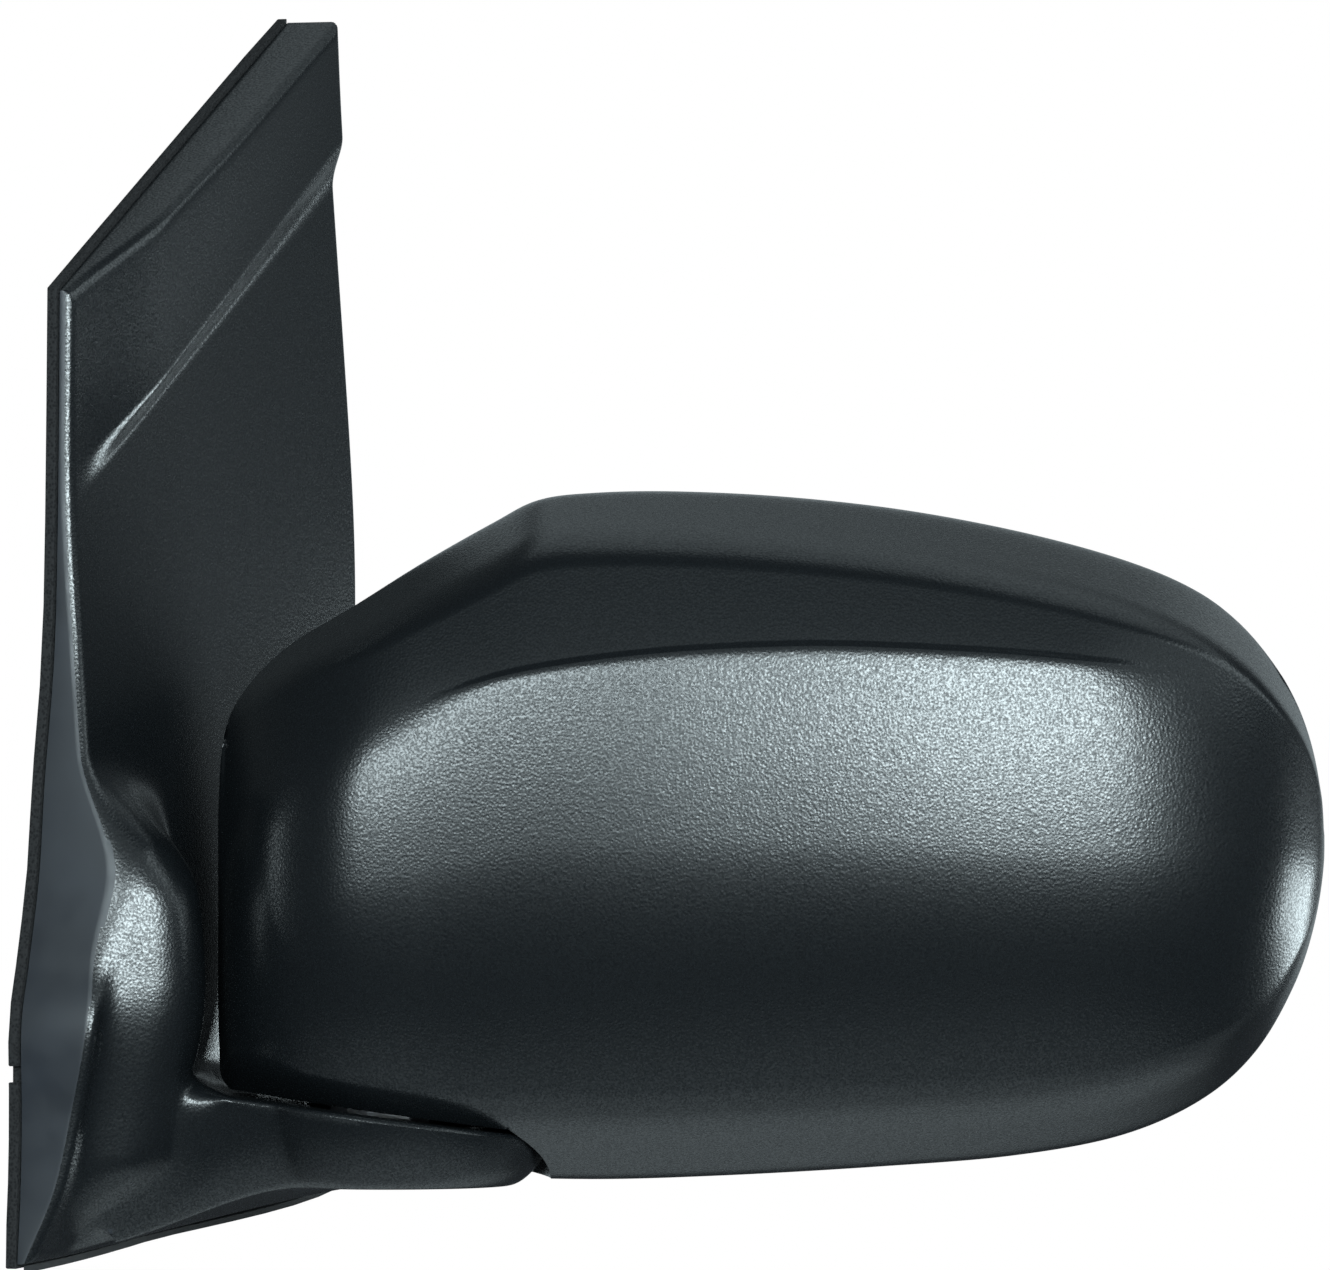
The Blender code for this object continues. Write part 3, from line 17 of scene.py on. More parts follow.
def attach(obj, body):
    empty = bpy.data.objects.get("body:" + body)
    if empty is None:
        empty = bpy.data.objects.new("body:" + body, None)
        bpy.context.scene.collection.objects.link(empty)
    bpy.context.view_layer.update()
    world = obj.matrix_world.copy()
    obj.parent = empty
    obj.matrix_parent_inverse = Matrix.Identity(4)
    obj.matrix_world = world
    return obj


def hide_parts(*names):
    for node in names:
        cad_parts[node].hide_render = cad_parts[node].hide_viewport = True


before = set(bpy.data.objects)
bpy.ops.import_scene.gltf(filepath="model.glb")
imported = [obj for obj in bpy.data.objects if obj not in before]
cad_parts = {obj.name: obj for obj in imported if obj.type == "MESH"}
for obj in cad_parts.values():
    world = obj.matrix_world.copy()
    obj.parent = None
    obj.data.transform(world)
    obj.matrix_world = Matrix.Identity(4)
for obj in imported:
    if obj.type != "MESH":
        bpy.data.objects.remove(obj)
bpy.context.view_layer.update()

MM = 0.001

# ---- sizes shared with the solid model ----------------------------------------------------------

HEAD_RAKE = 25.0
PIVOT = (52.8, -36.0, -55.5)
PIVOT_LEAN = 7.5
PARTING_GAP = 1.0
WALL = 2.6
FOOT_RADIUS = 36.0
FOOT_BOTTOM = -71.5
HEAD_CUT_RADIUS = 37.0
PIVOT_OPENING = 21.5

HEAD_OUTLINE = [
    (17.2, -49.9), (15.2, -40.0), (15.0, -10.0), (15.1, 13.0), (16.6, 28.6), (21.5, 38.2),
    (30.8, 47.3), (44.9, 55.9), (60.0, 65.4), (75.5, 74.2), (85.5, 79.2), (98.0, 80.8),
    (116.0, 81.1), (140.0, 79.9), (166.0, 77.0), (192.0, 72.1), (214.3, 66.0), (229.5, 59.6),
    (239.5, 52.2), (247.5, 42.3), (253.6, 30.8), (257.2, 17.0), (258.2, 1.0), (256.2, -14.0),
    (251.5, -28.0), (243.0, -42.4), (231.0, -52.9), (213.5, -60.6), (190.0, -65.0), (161.0, -67.4),
    (126.0, -69.4), (96.0, -70.2), (70.0, -69.0), (48.0, -64.5), (30.0, -57.0),
]
HEAD_PLANE = PIVOT[1]
HEAD_DEPTH = 49.0
HEAD_REAR = 31.0
FACE_BULGE = (0.50, 0.12)
FLANK_SLOPE = (3.3, 4.0)
FLANK_ROLL = 0.06
EDGE_SOFTNESS = 0.20
PLAN_POWER = 2.8
HEAD_COLUMNS = 330
LOWER_ROWS = 120
UPPER_ROWS = 84

# Character line on the front of the head; the face above it steps back and leans back.
FEATURE_LINE = [
    (15.0, -2.0), (27.0, 9.5), (42.0, 22.0), (58.7, 33.0), (71.7, 38.7), (88.0, 42.5), (112.0, 45.5),
    (137.0, 46.9), (156.0, 46.9), (185.0, 45.5), (204.6, 43.8), (229.0, 41.4), (250.0, 39.6),
]
FEATURE_STEP = 0.7
SHOULDER_LEAN = 0.40

SAIL_FRONT = [
    (-71.5, -87.6), (-70.0, -72.0), (-69.4, -55.0), (-69.6, -36.0), (-66.0, -22.0), (-61.2, -3.0),
    (-58.6, 17.6), (-54.0, 46.0), (-52.3, 80.0), (-51.5, 125.0),
]
SAIL_REAR = [
    (57.5, -73.0), (58.0, -60.0), (58.5, -45.0), (59.0, -28.0), (59.5, -12.0), (60.0, 8.0),
    (60.0, 32.0), (60.0, 78.0), (59.5, 157.0), (60.0, 188.2),
]
SAIL_FRONT_DEPTH = [6.0, 12.5, 16.5, 20.4, 19.6, 16.8, 13.2, 8.6, 5.6, 5.4]
SAIL_MIDDLE_DEPTH = [7.5, 14.5, 18.0, 20.0, 19.8, 18.2, 15.6, 12.6, 9.6, 10.2]
SAIL_REAR_DEPTH = [9.0, 15.0, 18.5, 20.0, 20.2, 20.4, 20.6, 20.4, 15.0, 13.0]
SAIL_WIDTH = 118.0
SAIL_LOW_ROW_HEIGHT = 15.0
SAIL_TOP_ROW_HEIGHT = 34.0
SAIL_STEP_ROW = 8
SAIL_BAND_RISE = 5.0
FLARE_RISE = 16.0
SAIL_EDGE_RADIUS = 2.4
SAIL_RIM = 2.7
FOOT_FRONT_FLARE = [(8.0, -63.0), (17.0, -58.0), (27.0, -52.0), (39.0, -47.6)]
FOOT_DOOR_END = 5.0
FOOT_HOLLOW_END = 3.7
FOOT_EDGE_RADIUS = 0.9
FOOT_POINTS = 150
FLANK_FRONT = -49.0

# Fillet between the sail and the foot, kept below the circle in which the head swings.
JUNCTION_RADIUS = 9.0
JUNCTION_ROUNDS = 40
SWING_RADIUS = 39.5
SWING_FILLET = 4.5

GLASS_OUTLINE = [
    (68.5, -30.0), (66.2, -12.0), (66.5, 10.0), (70.5, 27.0), (79.5, 42.0), (93.0, 54.5),
    (110.0, 61.0), (140.0, 62.0), (170.0, 59.6), (198.0, 54.6), (218.0, 46.4), (232.0, 34.0),
    (239.6, 18.0), (241.4, 1.0), (238.4, -15.0), (230.5, -30.0), (216.5, -42.5), (196.0, -48.4),
    (164.0, -50.6), (130.0, -51.6), (102.0, -51.0), (84.0, -47.6), (73.5, -40.5),
]
GLASS_CENTRE = (141.0, -25.0, 5.0)
GLASS_BACK = 17.0
BEZEL_GAP = 3.6
STUDS = [(-15.0, -28.0), (38.0, -38.0), (16.0, 46.0)]
COVER_SCREWS = [(-28.0, 26.0), (40.0, 20.0), (30.0, 130.0)]

DOOR = Matrix.Identity(4)
HEAD = Matrix.Rotation(math.radians(HEAD_RAKE), 4, "Z")
AXIS = HEAD @ Matrix.Translation(Vector(PIVOT) * MM) @ Matrix.Rotation(math.radians(PIVOT_LEAN), 4, "Y")
GLASS = HEAD @ Matrix.Translation(Vector(GLASS_CENTRE) * MM)

# ---- camera and lights --------------------------------------------------------------------------

VIEW_TARGET = (113.3, -36.0, 49.5)  # head frame
VIEW_WIDTH = 292.6
VIEW_DISTANCE = 3.0  # metres
SENSOR = 36.0
# Softboxes: name, azimuth and elevation of the middle, degrees across and upwards, radiance.
SOFTBOXES = [
    ("key", 17.0, 8.0, 30.0, 14.0, 17.0),
    ("key_left", -22.0, 12.0, 34.0, 14.0, 10.0),
    ("left", -105.0, -8.0, 30.0, 26.0, 2.0),
    ("upper_front", 0.0, 46.0, 80.0, 22.0, 0.25),
    ("overhead", 155.0, 60.0, 60.0, 36.0, 0.38),
    ("right_high", 78.0, 30.0, 50.0, 34.0, 1.1),
    ("rear_right", 126.0, 4.0, 30.0, 22.0, 0.10),
    ("rim", 112.0, -13.0, 40.0, 12.0, 8.0),
    ("behind", 182.0, 12.0, 62.0, 46.0, 0.45),
    ("bounce", 180.0, -58.0, 60.0, 36.0, 0.22),
]
LIGHT_DISTANCE = 1.6  # metres
LIGHT_COLOUR = (0.82, 0.96, 1.0)
AMBIENT = (0.032, 0.037, 0.042)
BACKDROP = (1.0, 1.0, 1.0)
FLOOR_SIDE = 3600.0
FLOOR_HEIGHT = -1600.0


def add_camera():
    data = bpy.data.cameras.new("camera")
    data.sensor_width = SENSOR
    data.lens = SENSOR * VIEW_DISTANCE / (VIEW_WIDTH * MM)
    data.clip_end = 60.0
    camera = bpy.data.objects.new("camera", data)
    target = HEAD @ (Vector(VIEW_TARGET) * MM)
    ahead = HEAD.to_3x3() @ Vector((0, 1, 0))
    camera.location = target - ahead * VIEW_DISTANCE
    camera.rotation_euler = ahead.to_track_quat("-Z", "Y").to_euler()
    bpy.context.scene.collection.objects.link(camera)
    bpy.context.scene.camera = camera


# ---- materials ----------------------------------------------------------------------------------

class Finish:
    """A Principled material under construction."""

    def __init__(self, name, colour, roughness, metallic=0.0, specular=0.5):
        self.material = bpy.data.materials.new(name)
        self.material.use_nodes = True
        self.tree = self.material.node_tree
        self.shader = self.tree.nodes["Principled BSDF"]
        self.shader.inputs["Base Color"].default_value = (*colour, 1.0)
        self.shader.inputs["Roughness"].default_value = roughness
        self.shader.inputs["Metallic"].default_value = metallic
        self.shader.inputs["Specular IOR Level"].default_value = specular
        self.colour = colour
        self.place = self.tree.nodes.new("ShaderNodeTexCoord").outputs["Object"]
        self.normal = None

    def node(self, kind, **sockets):
        made = self.tree.nodes.new(kind)
        for name, value in sockets.items():
            made.inputs[name.replace("_", " ")].default_value = value
        return made

    def link(self, source, target):
        self.tree.links.new(source, target)

    def noise(self, size, detail=3.0, roughness=0.5):
        """Cloudy noise whose blobs are about size millimetres across."""
        made = self.node("ShaderNodeTexNoise", Scale=1.0 / (size * MM), Detail=detail, Roughness=roughness)
        self.link(self.place, made.inputs["Vector"])
        return made.outputs["Fac"]

    def cells(self, size, feature="F1", softness=None):
        """Distance to the nearest of scattered points about size millimetres apart."""
        made = self.node("ShaderNodeTexVoronoi", Scale=1.0 / (size * MM))
        made.feature = feature
        if softness is not None:
            made.inputs["Smoothness"].default_value = softness
        self.link(self.place, made.inputs["Vector"])
        return made.outputs["Distance"]

    def ramp(self, source, low, high, start=0.35, end=0.65):
        """A level that runs from low to high as the source runs from start to end."""
        made = self.tree.nodes.new("ShaderNodeMapRange")
        made.inputs["From Min"].default_value = start
        made.inputs["From Max"].default_value = end
        made.inputs["To Min"].default_value = low
        made.inputs["To Max"].default_value = high
        self.link(source, made.inputs["Value"])
        return made.outputs["Result"]

    def tint(self, source, other, start=0.35, end=0.65):
        """The base colour turns to another where the source is high."""
        amount = self.ramp(source, 0.0, 1.0, start, end)
        mix = self.tree.nodes.new("ShaderNodeMix")
        mix.data_type = "RGBA"
        mix.inputs["A"].default_value = (*self.colour, 1.0)
        mix.inputs["B"].default_value = (*other, 1.0)
        self.link(amount, mix.inputs["Factor"])
        base = self.shader.inputs["Base Color"]
        if base.is_linked:
            self.link(base.links[0].from_socket, mix.inputs["A"])
        self.link(mix.outputs["Result"], base)

    def vary_roughness(self, source, low, high, start=0.35, end=0.65):
        self.link(self.ramp(source, low, high, start, end), self.shader.inputs["Roughness"])

    def bump(self, source, height, strength=1.0):
        """Relief of a height in millimetres."""
        made = self.node("ShaderNodeBump", Strength=strength, Distance=height * MM)
        self.link(source, made.inputs["Height"])
        if self.normal:
            self.link(self.normal, made.inputs["Normal"])
        self.normal = made.outputs["Normal"]
        self.link(self.normal, self.shader.inputs["Normal"])


def textured_black():
    """Moulded-in-black polypropylene with a fine leather-like stipple."""
    look = Finish("textured_black_plastic", (0.0055, 0.0068, 0.0080), 0.25, specular=0.95)
    look.tint(look.noise(0.42, 2.0, 0.6), (0.010, 0.0125, 0.0145), 0.45, 0.75)
    grain = look.noise(0.50, 1.0, 0.5)
    look.vary_roughness(grain, 0.34, 0.20, 0.3, 0.7)
    look.link(look.ramp(grain, 0.55, 1.0, 0.38, 0.62), look.shader.inputs["Specular IOR Level"])
    look.bump(look.cells(0.62, "SMOOTH_F1", 0.6), 0.036)
    return look.material


def smooth_flank():
    """The same plastic where the tool was left polished, on the sail's edges."""
    look = Finish("smooth_flank_plastic", (0.016, 0.019, 0.025), 0.42, specular=0.8)
    look.tint(look.noise(14.0, 4.0), (0.021, 0.025, 0.033))
    look.vary_roughness(look.noise(6.0, 3.0), 0.38, 0.46)
    look.bump(look.noise(0.9, 3.0), 0.004)
    return look.material


def smooth_black():
    look = Finish("smooth_black_plastic", (0.010, 0.011, 0.012), 0.34, specular=0.6)
    look.tint(look.noise(11.0, 4.0), (0.016, 0.017, 0.019))
    look.vary_roughness(look.noise(5.0, 4.0), 0.30, 0.42)
    look.bump(look.noise(0.8, 3.0), 0.006)
    return look.material


def grey_nylon():
    look = Finish("grey_nylon", (0.17, 0.18, 0.19), 0.48)
    look.tint(look.noise(7.0, 4.0), (0.22, 0.23, 0.235))
    look.bump(look.noise(0.5, 3.0), 0.012)
    return look.material


def white_acetal():
    look = Finish("white_acetal", (0.72, 0.71, 0.66), 0.38)
    look.tint(look.noise(6.0, 4.0), (0.64, 0.62, 0.56))
    look.shader.inputs["Subsurface Weight"].default_value = 0.1
    look.bump(look.noise(0.7, 2.0), 0.004)
    return look.material


def black_rubber():
    look = Finish("black_rubber", (0.010, 0.010, 0.011), 0.72, specular=0.4)
    look.tint(look.noise(5.0, 5.0), (0.020, 0.020, 0.021))
    look.bump(look.noise(0.35, 3.0), 0.02)
    return look.material


def black_foam():
    look = Finish("black_foam", (0.012, 0.012, 0.013), 0.95, specular=0.25)
    look.tint(look.cells(0.7), (0.030, 0.030, 0.031), 0.2, 0.6)
    look.bump(look.cells(0.7), 0.12)
    look.bump(look.noise(3.0, 3.0), 0.10)
    return look.material


def die_cast():
    look = Finish("die_cast_zinc", (0.40, 0.41, 0.42), 0.42, 0.85)
    look.tint(look.noise(16.0, 5.0, 0.6), (0.30, 0.31, 0.33))
    look.vary_roughness(look.noise(4.0, 4.0), 0.36, 0.55)
    look.bump(look.noise(0.9, 4.0, 0.6), 0.035)
    return look.material


def zinc_plate():
    look = Finish("zinc_plated_steel", (0.62, 0.63, 0.60), 0.27, 1.0)
    look.tint(look.noise(3.0, 4.0), (0.70, 0.66, 0.50), 0.45, 0.8)
    look.vary_roughness(look.noise(1.2, 4.0), 0.22, 0.36)
    look.bump(look.noise(0.25, 2.0), 0.004)
    return look.material


def spring_steel():
    look = Finish("spring_steel", (0.19, 0.19, 0.20), 0.32, 1.0)
    look.tint(look.noise(4.0, 4.0), (0.12, 0.115, 0.11))
    look.bump(look.noise(0.4, 2.0), 0.006)
    return look.material


def silvered_glass():
    """First-surface look of a chromed mirror: near white, with the faintest haze."""
    look = Finish("silvered_glass", (0.83, 0.86, 0.87), 0.02, 1.0)
    look.tint(look.noise(60.0, 3.0), (0.86, 0.88, 0.885))
    look.vary_roughness(look.noise(22.0, 5.0, 0.6), 0.012, 0.035, 0.4, 0.8)
    return look.material


def glass_edge():
    look = Finish("ground_glass_edge", (0.10, 0.15, 0.14), 0.30)
    look.tint(look.noise(1.5, 3.0), (0.16, 0.22, 0.20))
    look.bump(look.noise(0.3, 2.0), 0.01)
    return look.material


def wire_sleeve():
    """Braided polyester sleeve."""
    look = Finish("wire_sleeve", (0.024, 0.024, 0.026), 0.6)
    wave = look.node("ShaderNodeTexWave", Scale=420.0, Distortion=0.6)
    wave.bands_direction = "DIAGONAL"
    look.link(look.place, wave.inputs["Vector"])
    look.tint(wave.outputs["Fac"], (0.05, 0.05, 0.052))
    look.bump(wave.outputs["Fac"], 0.15)
    return look.material


# ---- mesh helpers -------------------------------------------------------------------------------

def add_mesh(name, points, faces, place, material, smooth_angle=35.0):
    mesh = bpy.data.meshes.new(name)
    mesh.from_pydata([place @ (Vector(p) * MM) for p in points], [], faces)
    work = bmesh.new()
    work.from_mesh(mesh)
    bmesh.ops.recalc_face_normals(work, faces=work.faces)
    work.to_mesh(mesh)
    work.free()
    mesh.materials.append(material)
    obj = bpy.data.objects.new(name, mesh)
    bpy.context.scene.collection.objects.link(obj)
    shade(obj, smooth_angle)
    return obj


def shade(obj, angle):
    obj.data.shade_smooth()
    obj.data.set_sharp_from_angle(angle=math.radians(angle))


def between(ring_a, ring_b):
    """Quads between two closed rings of points."""
    count = len(ring_a)
    return [(ring_a[i], ring_a[(i + 1) % count], ring_b[(i + 1) % count], ring_b[i]) for i in range(count)]


def grid_sheet(high, wide):
    """Quads of a sheet of points given row by row, and the run of points round its rim."""
    number = np.arange(high * wide).reshape(high, wide)
    faces = [
        (number[j, i], number[j, i + 1], number[j + 1, i + 1], number[j + 1, i])
        for j in range(high - 1)
        for i in range(wide - 1)
    ]
    rim = list(number[0, :]) + list(number[1:, -1]) + list(number[-1, -2::-1]) + list(number[-2:0:-1, 0])
    return faces, rim


def stacked(rings, cap_low=True, cap_high=True, close=False):
    """Points and faces of a tube through closed rings; close joins the last ring back to the first."""
    size = len(rings[0])
    points = [tuple(p) for ring in rings for p in ring]
    rows = [list(range(k * size, (k + 1) * size)) for k in range(len(rings))]
    faces = []
    for low, high in zip(rows, rows[1:] + (rows[:1] if close else [])):
        faces += between(low, high)
    if cap_low and not close:
        faces.append(tuple(reversed(rows[0])))
    if cap_high and not close:
        faces.append(tuple(rows[-1]))
    return points, faces


def circle(radius, segments):
    steps = 2 * math.pi * np.arange(segments) / segments
    return list(zip(radius * np.cos(steps), radius * np.sin(steps)))


def turned(name, profile, place, material, segments=48, smooth_angle=35.0):
    """A closed (radius, height) profile turned about Z."""
    points = []
    rows = []
    for radius, height in profile:
        if radius == 0:
            rows.append([len(points)])
            points.append((0.0, 0.0, height))
        else:
            rows.append(list(range(len(points), len(points) + segments)))
            points += [(x, y, height) for x, y in circle(radius, segments)]
    faces = []
    for a, b in zip(rows, rows[1:] + rows[:1]):
        if len(a) == 1 and len(b) == 1:
            continue
        if len(a) == 1 or len(b) == 1:
            tip = a[0] if len(a) == 1 else b[0]
            ring = b if len(a) == 1 else a
            faces += [(tip, ring[i], ring[(i + 1) % segments]) for i in range(segments)]
        else:
            faces += between(a, b)
    return add_mesh(name, points, faces, place, material, smooth_angle)


def box(name, low, high, place, material):
    (x0, y0, z0), (x1, y1, z1) = low, high
    outline = [(x0, y0), (x1, y0), (x1, y1), (x0, y1)]
    rings = [[(x, y, z) for x, y in outline] for z in (z0, z1)]
    return add_mesh(name, *stacked(rings), place, material)


def combine(obj, other, operation):
    """Cuts the other solid out of this one or joins it on, and removes the other."""
    step = obj.modifiers.new(operation, "BOOLEAN")
    step.operation = operation
    step.solver = "EXACT"
    step.object = other
    bpy.context.view_layer.update()
    graph = bpy.context.evaluated_depsgraph_get()
    made = bpy.data.meshes.new_from_object(obj.evaluated_get(graph))
    obj.modifiers.clear()
    old = obj.data
    obj.data = made
    bpy.data.meshes.remove(old)
    bpy.data.objects.remove(other, do_unlink=True)
    return obj


def cut(obj, other):
    return combine(obj, other, "DIFFERENCE")


def join(obj, other):
    return combine(obj, other, "UNION")


def facing_outboard(point):
    """A frame in the door frame whose Z points outboard."""
    turn = Vector((0, 0, 1)).rotation_difference(Vector((1, 0, 0))).to_matrix().to_4x4()
    return DOOR @ Matrix.Translation(Vector(point) * MM) @ turn


def coordinates(obj):
    found = np.empty(len(obj.data.vertices) * 3)
    obj.data.vertices.foreach_get("co", found)
    return found.reshape(-1, 3)


def set_coordinates(obj, points):
    obj.data.vertices.foreach_set("co", points.ravel())
    obj.data.update()


def tree_of(places):
    tree = kdtree.KDTree(len(places))
    for i, place in enumerate(places):
        tree.insert(place, i)
    tree.balance()
    return tree


def tidy_mesh(obj, merge=0.02):
    """Merges points closer than a distance and drops what collapses."""
    work = bmesh.new()
    work.from_mesh(obj.data)
    bmesh.ops.remove_doubles(work, verts=work.verts, dist=merge * MM)
    bmesh.ops.dissolve_degenerate(work, edges=work.edges, dist=merge * 0.5 * MM)
    bmesh.ops.triangulate(work, faces=[f for f in work.faces if len(f.verts) > 4])
    work.to_mesh(obj.data)
    work.free()


# ---- curves -------------------------------------------------------------------------------------

def ease(low, high, value):
    t = np.clip((value - low) / (high - low), 0.0, 1.0)
    return t * t * (3 - 2 * t)


def curve_through(values, position):
    """Catmull-Rom value of a list at a position measured in entries."""
    values = np.asarray(values, float)
    position = np.clip(np.asarray(position, float), 0, len(values) - 1)
    base = np.minimum(position.astype(int), len(values) - 2)
    t = position - base
    first, last = base == 0, base == len(values) - 2
    if values.ndim > 1:
        t, first, last = t[..., None], first[..., None], last[..., None]
    b = values[base]
    c = values[base + 1]
    a = np.where(first, 2 * b - c, values[np.maximum(base - 1, 0)])
    d = np.where(last, 2 * c - b, values[np.minimum(base + 2, len(values) - 1)])
    return 0.5 * (2 * b + (c - a) * t + (2 * a - 5 * b + 4 * c - d) * t**2 + (3 * b - a - 3 * c + d) * t**3)


def evenly_along(points, count):
    """An open run of points cut into equal steps, both ends kept."""
    steps = np.linalg.norm(np.diff(points, axis=0), axis=1)
    reach = np.concatenate([[0], np.cumsum(steps)])
    wanted = np.linspace(0, reach[-1], count)
    return np.column_stack([np.interp(wanted, reach, points[:, k]) for k in range(points.shape[1])])


def evenly_round(outline, count):
    loop = np.array(list(outline[-2:]) + list(outline) + list(outline[:3]), float)
    fine = curve_through(loop, np.arange(2, 2 + len(outline), 0.02))
    return evenly_along(np.vstack([fine, fine[:1]]), count + 1)[:-1]


def inset(outline, distance):
    outline = np.asarray(outline, float)
    along = np.roll(outline, -1, axis=0) - np.roll(outline, 1, axis=0)
    along /= np.linalg.norm(along, axis=1)[:, None]
    normal = np.column_stack([along[:, 1], -along[:, 0]])
    area = np.sum(outline[:, 0] * np.roll(outline[:, 1], -1) - outline[:, 1] * np.roll(outline[:, 0], -1))
    return outline - normal * distance * (1 if area > 0 else -1)


# ---- head ---------------------------------------------------------------------------------------

def section_depth(height, set_back):
    """Share of the full depth from the lower limit (-1) to the upper one (1)."""
    upper = np.asarray(height) > 0
    away = 1 - np.clip(np.abs(height), 0, 1)
    face = 1 - np.where(upper, FACE_BULGE[1], FACE_BULGE[0]) * np.square(height) - set_back
    rise = np.where(upper, FLANK_SLOPE[1], FLANK_SLOPE[0]) * away
    flank = np.sqrt(rise**2 + 2 * FLANK_ROLL * rise)
    share = np.clip(0.5 + 0.5 * (flank - face) / EDGE_SOFTNESS, 0, 1)
    return flank * (1 - share) + face * share - EDGE_SOFTNESS * share * (1 - share)


def axis_reach(height):
    """Where the leaning fold axis stands along the head at a height."""
    return PIVOT[0] + (height - PIVOT[2]) * math.tan(math.radians(PIVOT_LEAN))


def head_limits(outline, along):
    """Bottom and top of the outline at places along the head."""
    left, right = np.argmin(outline[:, 0]), np.argmax(outline[:, 0])
    ring = np.roll(outline, -left, axis=0)
    right = (right - left) % len(outline)
    upper = ring[: right + 1]
    lower = np.vstack([ring[right:], ring[:1]])[::-1]
    if upper[len(upper) // 2, 1] < lower[len(lower) // 2, 1]:
        upper, lower = lower, upper
    return np.interp(along, lower[:, 0], lower[:, 1]), np.interp(along, upper[:, 0], upper[:, 1])


def head_plan_depth(along, lowest, highest, depth):
    middle, half = (lowest + highest) / 2, (highest - lowest) / 2
    share = np.clip(np.abs(along - middle) / half, 0, 1)
    crown = depth * (1 - share**PLAN_POWER) ** (1 / PLAN_POWER)
    axis = axis_reach(0.0)
    radius = axis - lowest
    arc = np.sqrt(np.clip(radius**2 - np.clip(axis - along, 0, radius) ** 2, 0, None))
    blend = ease(38.0, 84.0, along)
    return arc * (1 - blend) + crown * blend


def feature_line():
    """The character line as evenly spaced places along and up the head."""
    return evenly_along(curve_through(FEATURE_LINE, np.arange(0, len(FEATURE_LINE) - 0.98, 0.05)), 240)


def shoulder(along, up):
    """How far the face stands back above the character line."""
    line = feature_line()
    above = up - np.interp(along, line[:, 0], line[:, 1])
    softness = 1.2 + 7.0 * (1 - ease(50.0, 80.0, along)) + 14.0 * ease(200.0, 245.0, along)
    lean = SHOULDER_LEAN * (1 - ease(200.0, 256.0, along))
    crisp = ease(56.0, 84.0, along) * (1 - ease(196.0, 230.0, along))
    leaning = lean * 0.5 * (above + np.sqrt(above**2 + softness**2))
    return leaning + FEATURE_STEP * crisp * ease(-0.3, 1.5, above)


def head_depth(outline, flat, depth):
    """Depth forward of the widest section over places on it."""
    along, up = flat[..., 0], flat[..., 1]
    bottom, top = head_limits(outline, along)
    middle, half = (top + bottom) / 2, np.maximum((top - bottom) / 2, 1e-6)
    plan = head_plan_depth(along, outline[:, 0].min(), outline[:, 0].max(), depth)
    return plan * section_depth((up - middle) / half, shoulder(along, up) / np.maximum(plan, 12.0))


def patch(low, high, left, right, spread):
    """Coons patch: grid of places between four runs of points; spread says where the rows lie, 0 to 1."""
    rows, columns = len(left), len(low)
    s = np.linspace(0, 1, columns)[None, :, None]
    t = spread[:, None, None]
    across = (1 - t) * low[None] + t * high[None]
    up = (1 - s) * left[:, None] + s * right[:, None]
    corners = (
        (1 - s) * (1 - t) * low[0] + s * (1 - t) * low[-1] + (1 - s) * t * high[0] + s * t * high[-1]
    )
    return (across + up - corners).reshape(rows, columns, 2)


def run_of(outline, start, end, spread):
    """The part of a closed outline from near one place to near another, sampled as spread says."""
    a = np.argmin(np.hypot(*(outline - start).T))
    b = np.argmin(np.hypot(*(outline - end).T))
    if a == b:
        b = a + 1
    count = len(outline)
    forward = (b - a) % count
    backward = (a - b) % count
    if forward <= backward:
        index = [(a + i) % count for i in range(forward + 1)]
    else:
        index = [(a - i) % count for i in range(backward + 1)]
    points = outline[index]
    steps = np.linalg.norm(np.diff(points, axis=0), axis=1)
    reach = np.concatenate([[0], np.cumsum(steps)]) / steps.sum()
    return np.column_stack([np.interp(spread, reach, points[:, k]) for k in (0, 1)])


def head_grid(margin):
    """Places on the widest section in two patches, with a line of points along the character line."""
    outline = inset(evenly_round(HEAD_OUTLINE, 3000), margin)
    ridge = feature_line()
    corner_low_left, corner_low_right = (16.4, -47.0), (246.0, -38.0)
    corner_up_left, corner_up_right = (22.0, 38.9), (236.0, 55.2)
    ends = ridge[0], ridge[-1]
    lower = lower_spread()
    upper = upper_spread()
    columns = 0.5 - 0.5 * np.cos(math.pi * np.linspace(0, 1, HEAD_COLUMNS))
    columns = 0.45 * columns + 0.55 * np.linspace(0, 1, HEAD_COLUMNS)
    bottom = run_of(outline, corner_low_left, corner_low_right, columns)
    top = run_of(outline, corner_up_left, corner_up_right, columns)
    low_left = run_of(outline, corner_low_left, ends[0], lower)
    low_right = run_of(outline, corner_low_right, ends[1], lower)
    up_left = run_of(outline, ends[0], corner_up_left, upper)
    up_right = run_of(outline, ends[1], corner_up_right, upper)
    line = np.column_stack([np.interp(columns, np.linspace(0, 1, len(ridge)), ridge[:, k]) for k in (0, 1)])
    line[0], line[-1] = low_left[-1], low_right[-1]
    up_left[0], up_right[0] = line[0], line[-1]
    low_left[0], low_right[0] = bottom[0], bottom[-1]
    up_left[-1], up_right[-1] = top[0], top[-1]
    low_patch = patch(bottom, line, low_left, low_right, lower)
    up_patch = patch(line, top, up_left, up_right, upper)
    return outline, np.vstack([low_patch, up_patch[1:]])


def lower_spread():
    """Row places from the lower rim (0) to the character line (1)."""
    t = np.linspace(0, 1, LOWER_ROWS)
    return 0.72 * t + 0.28 * t**2.2


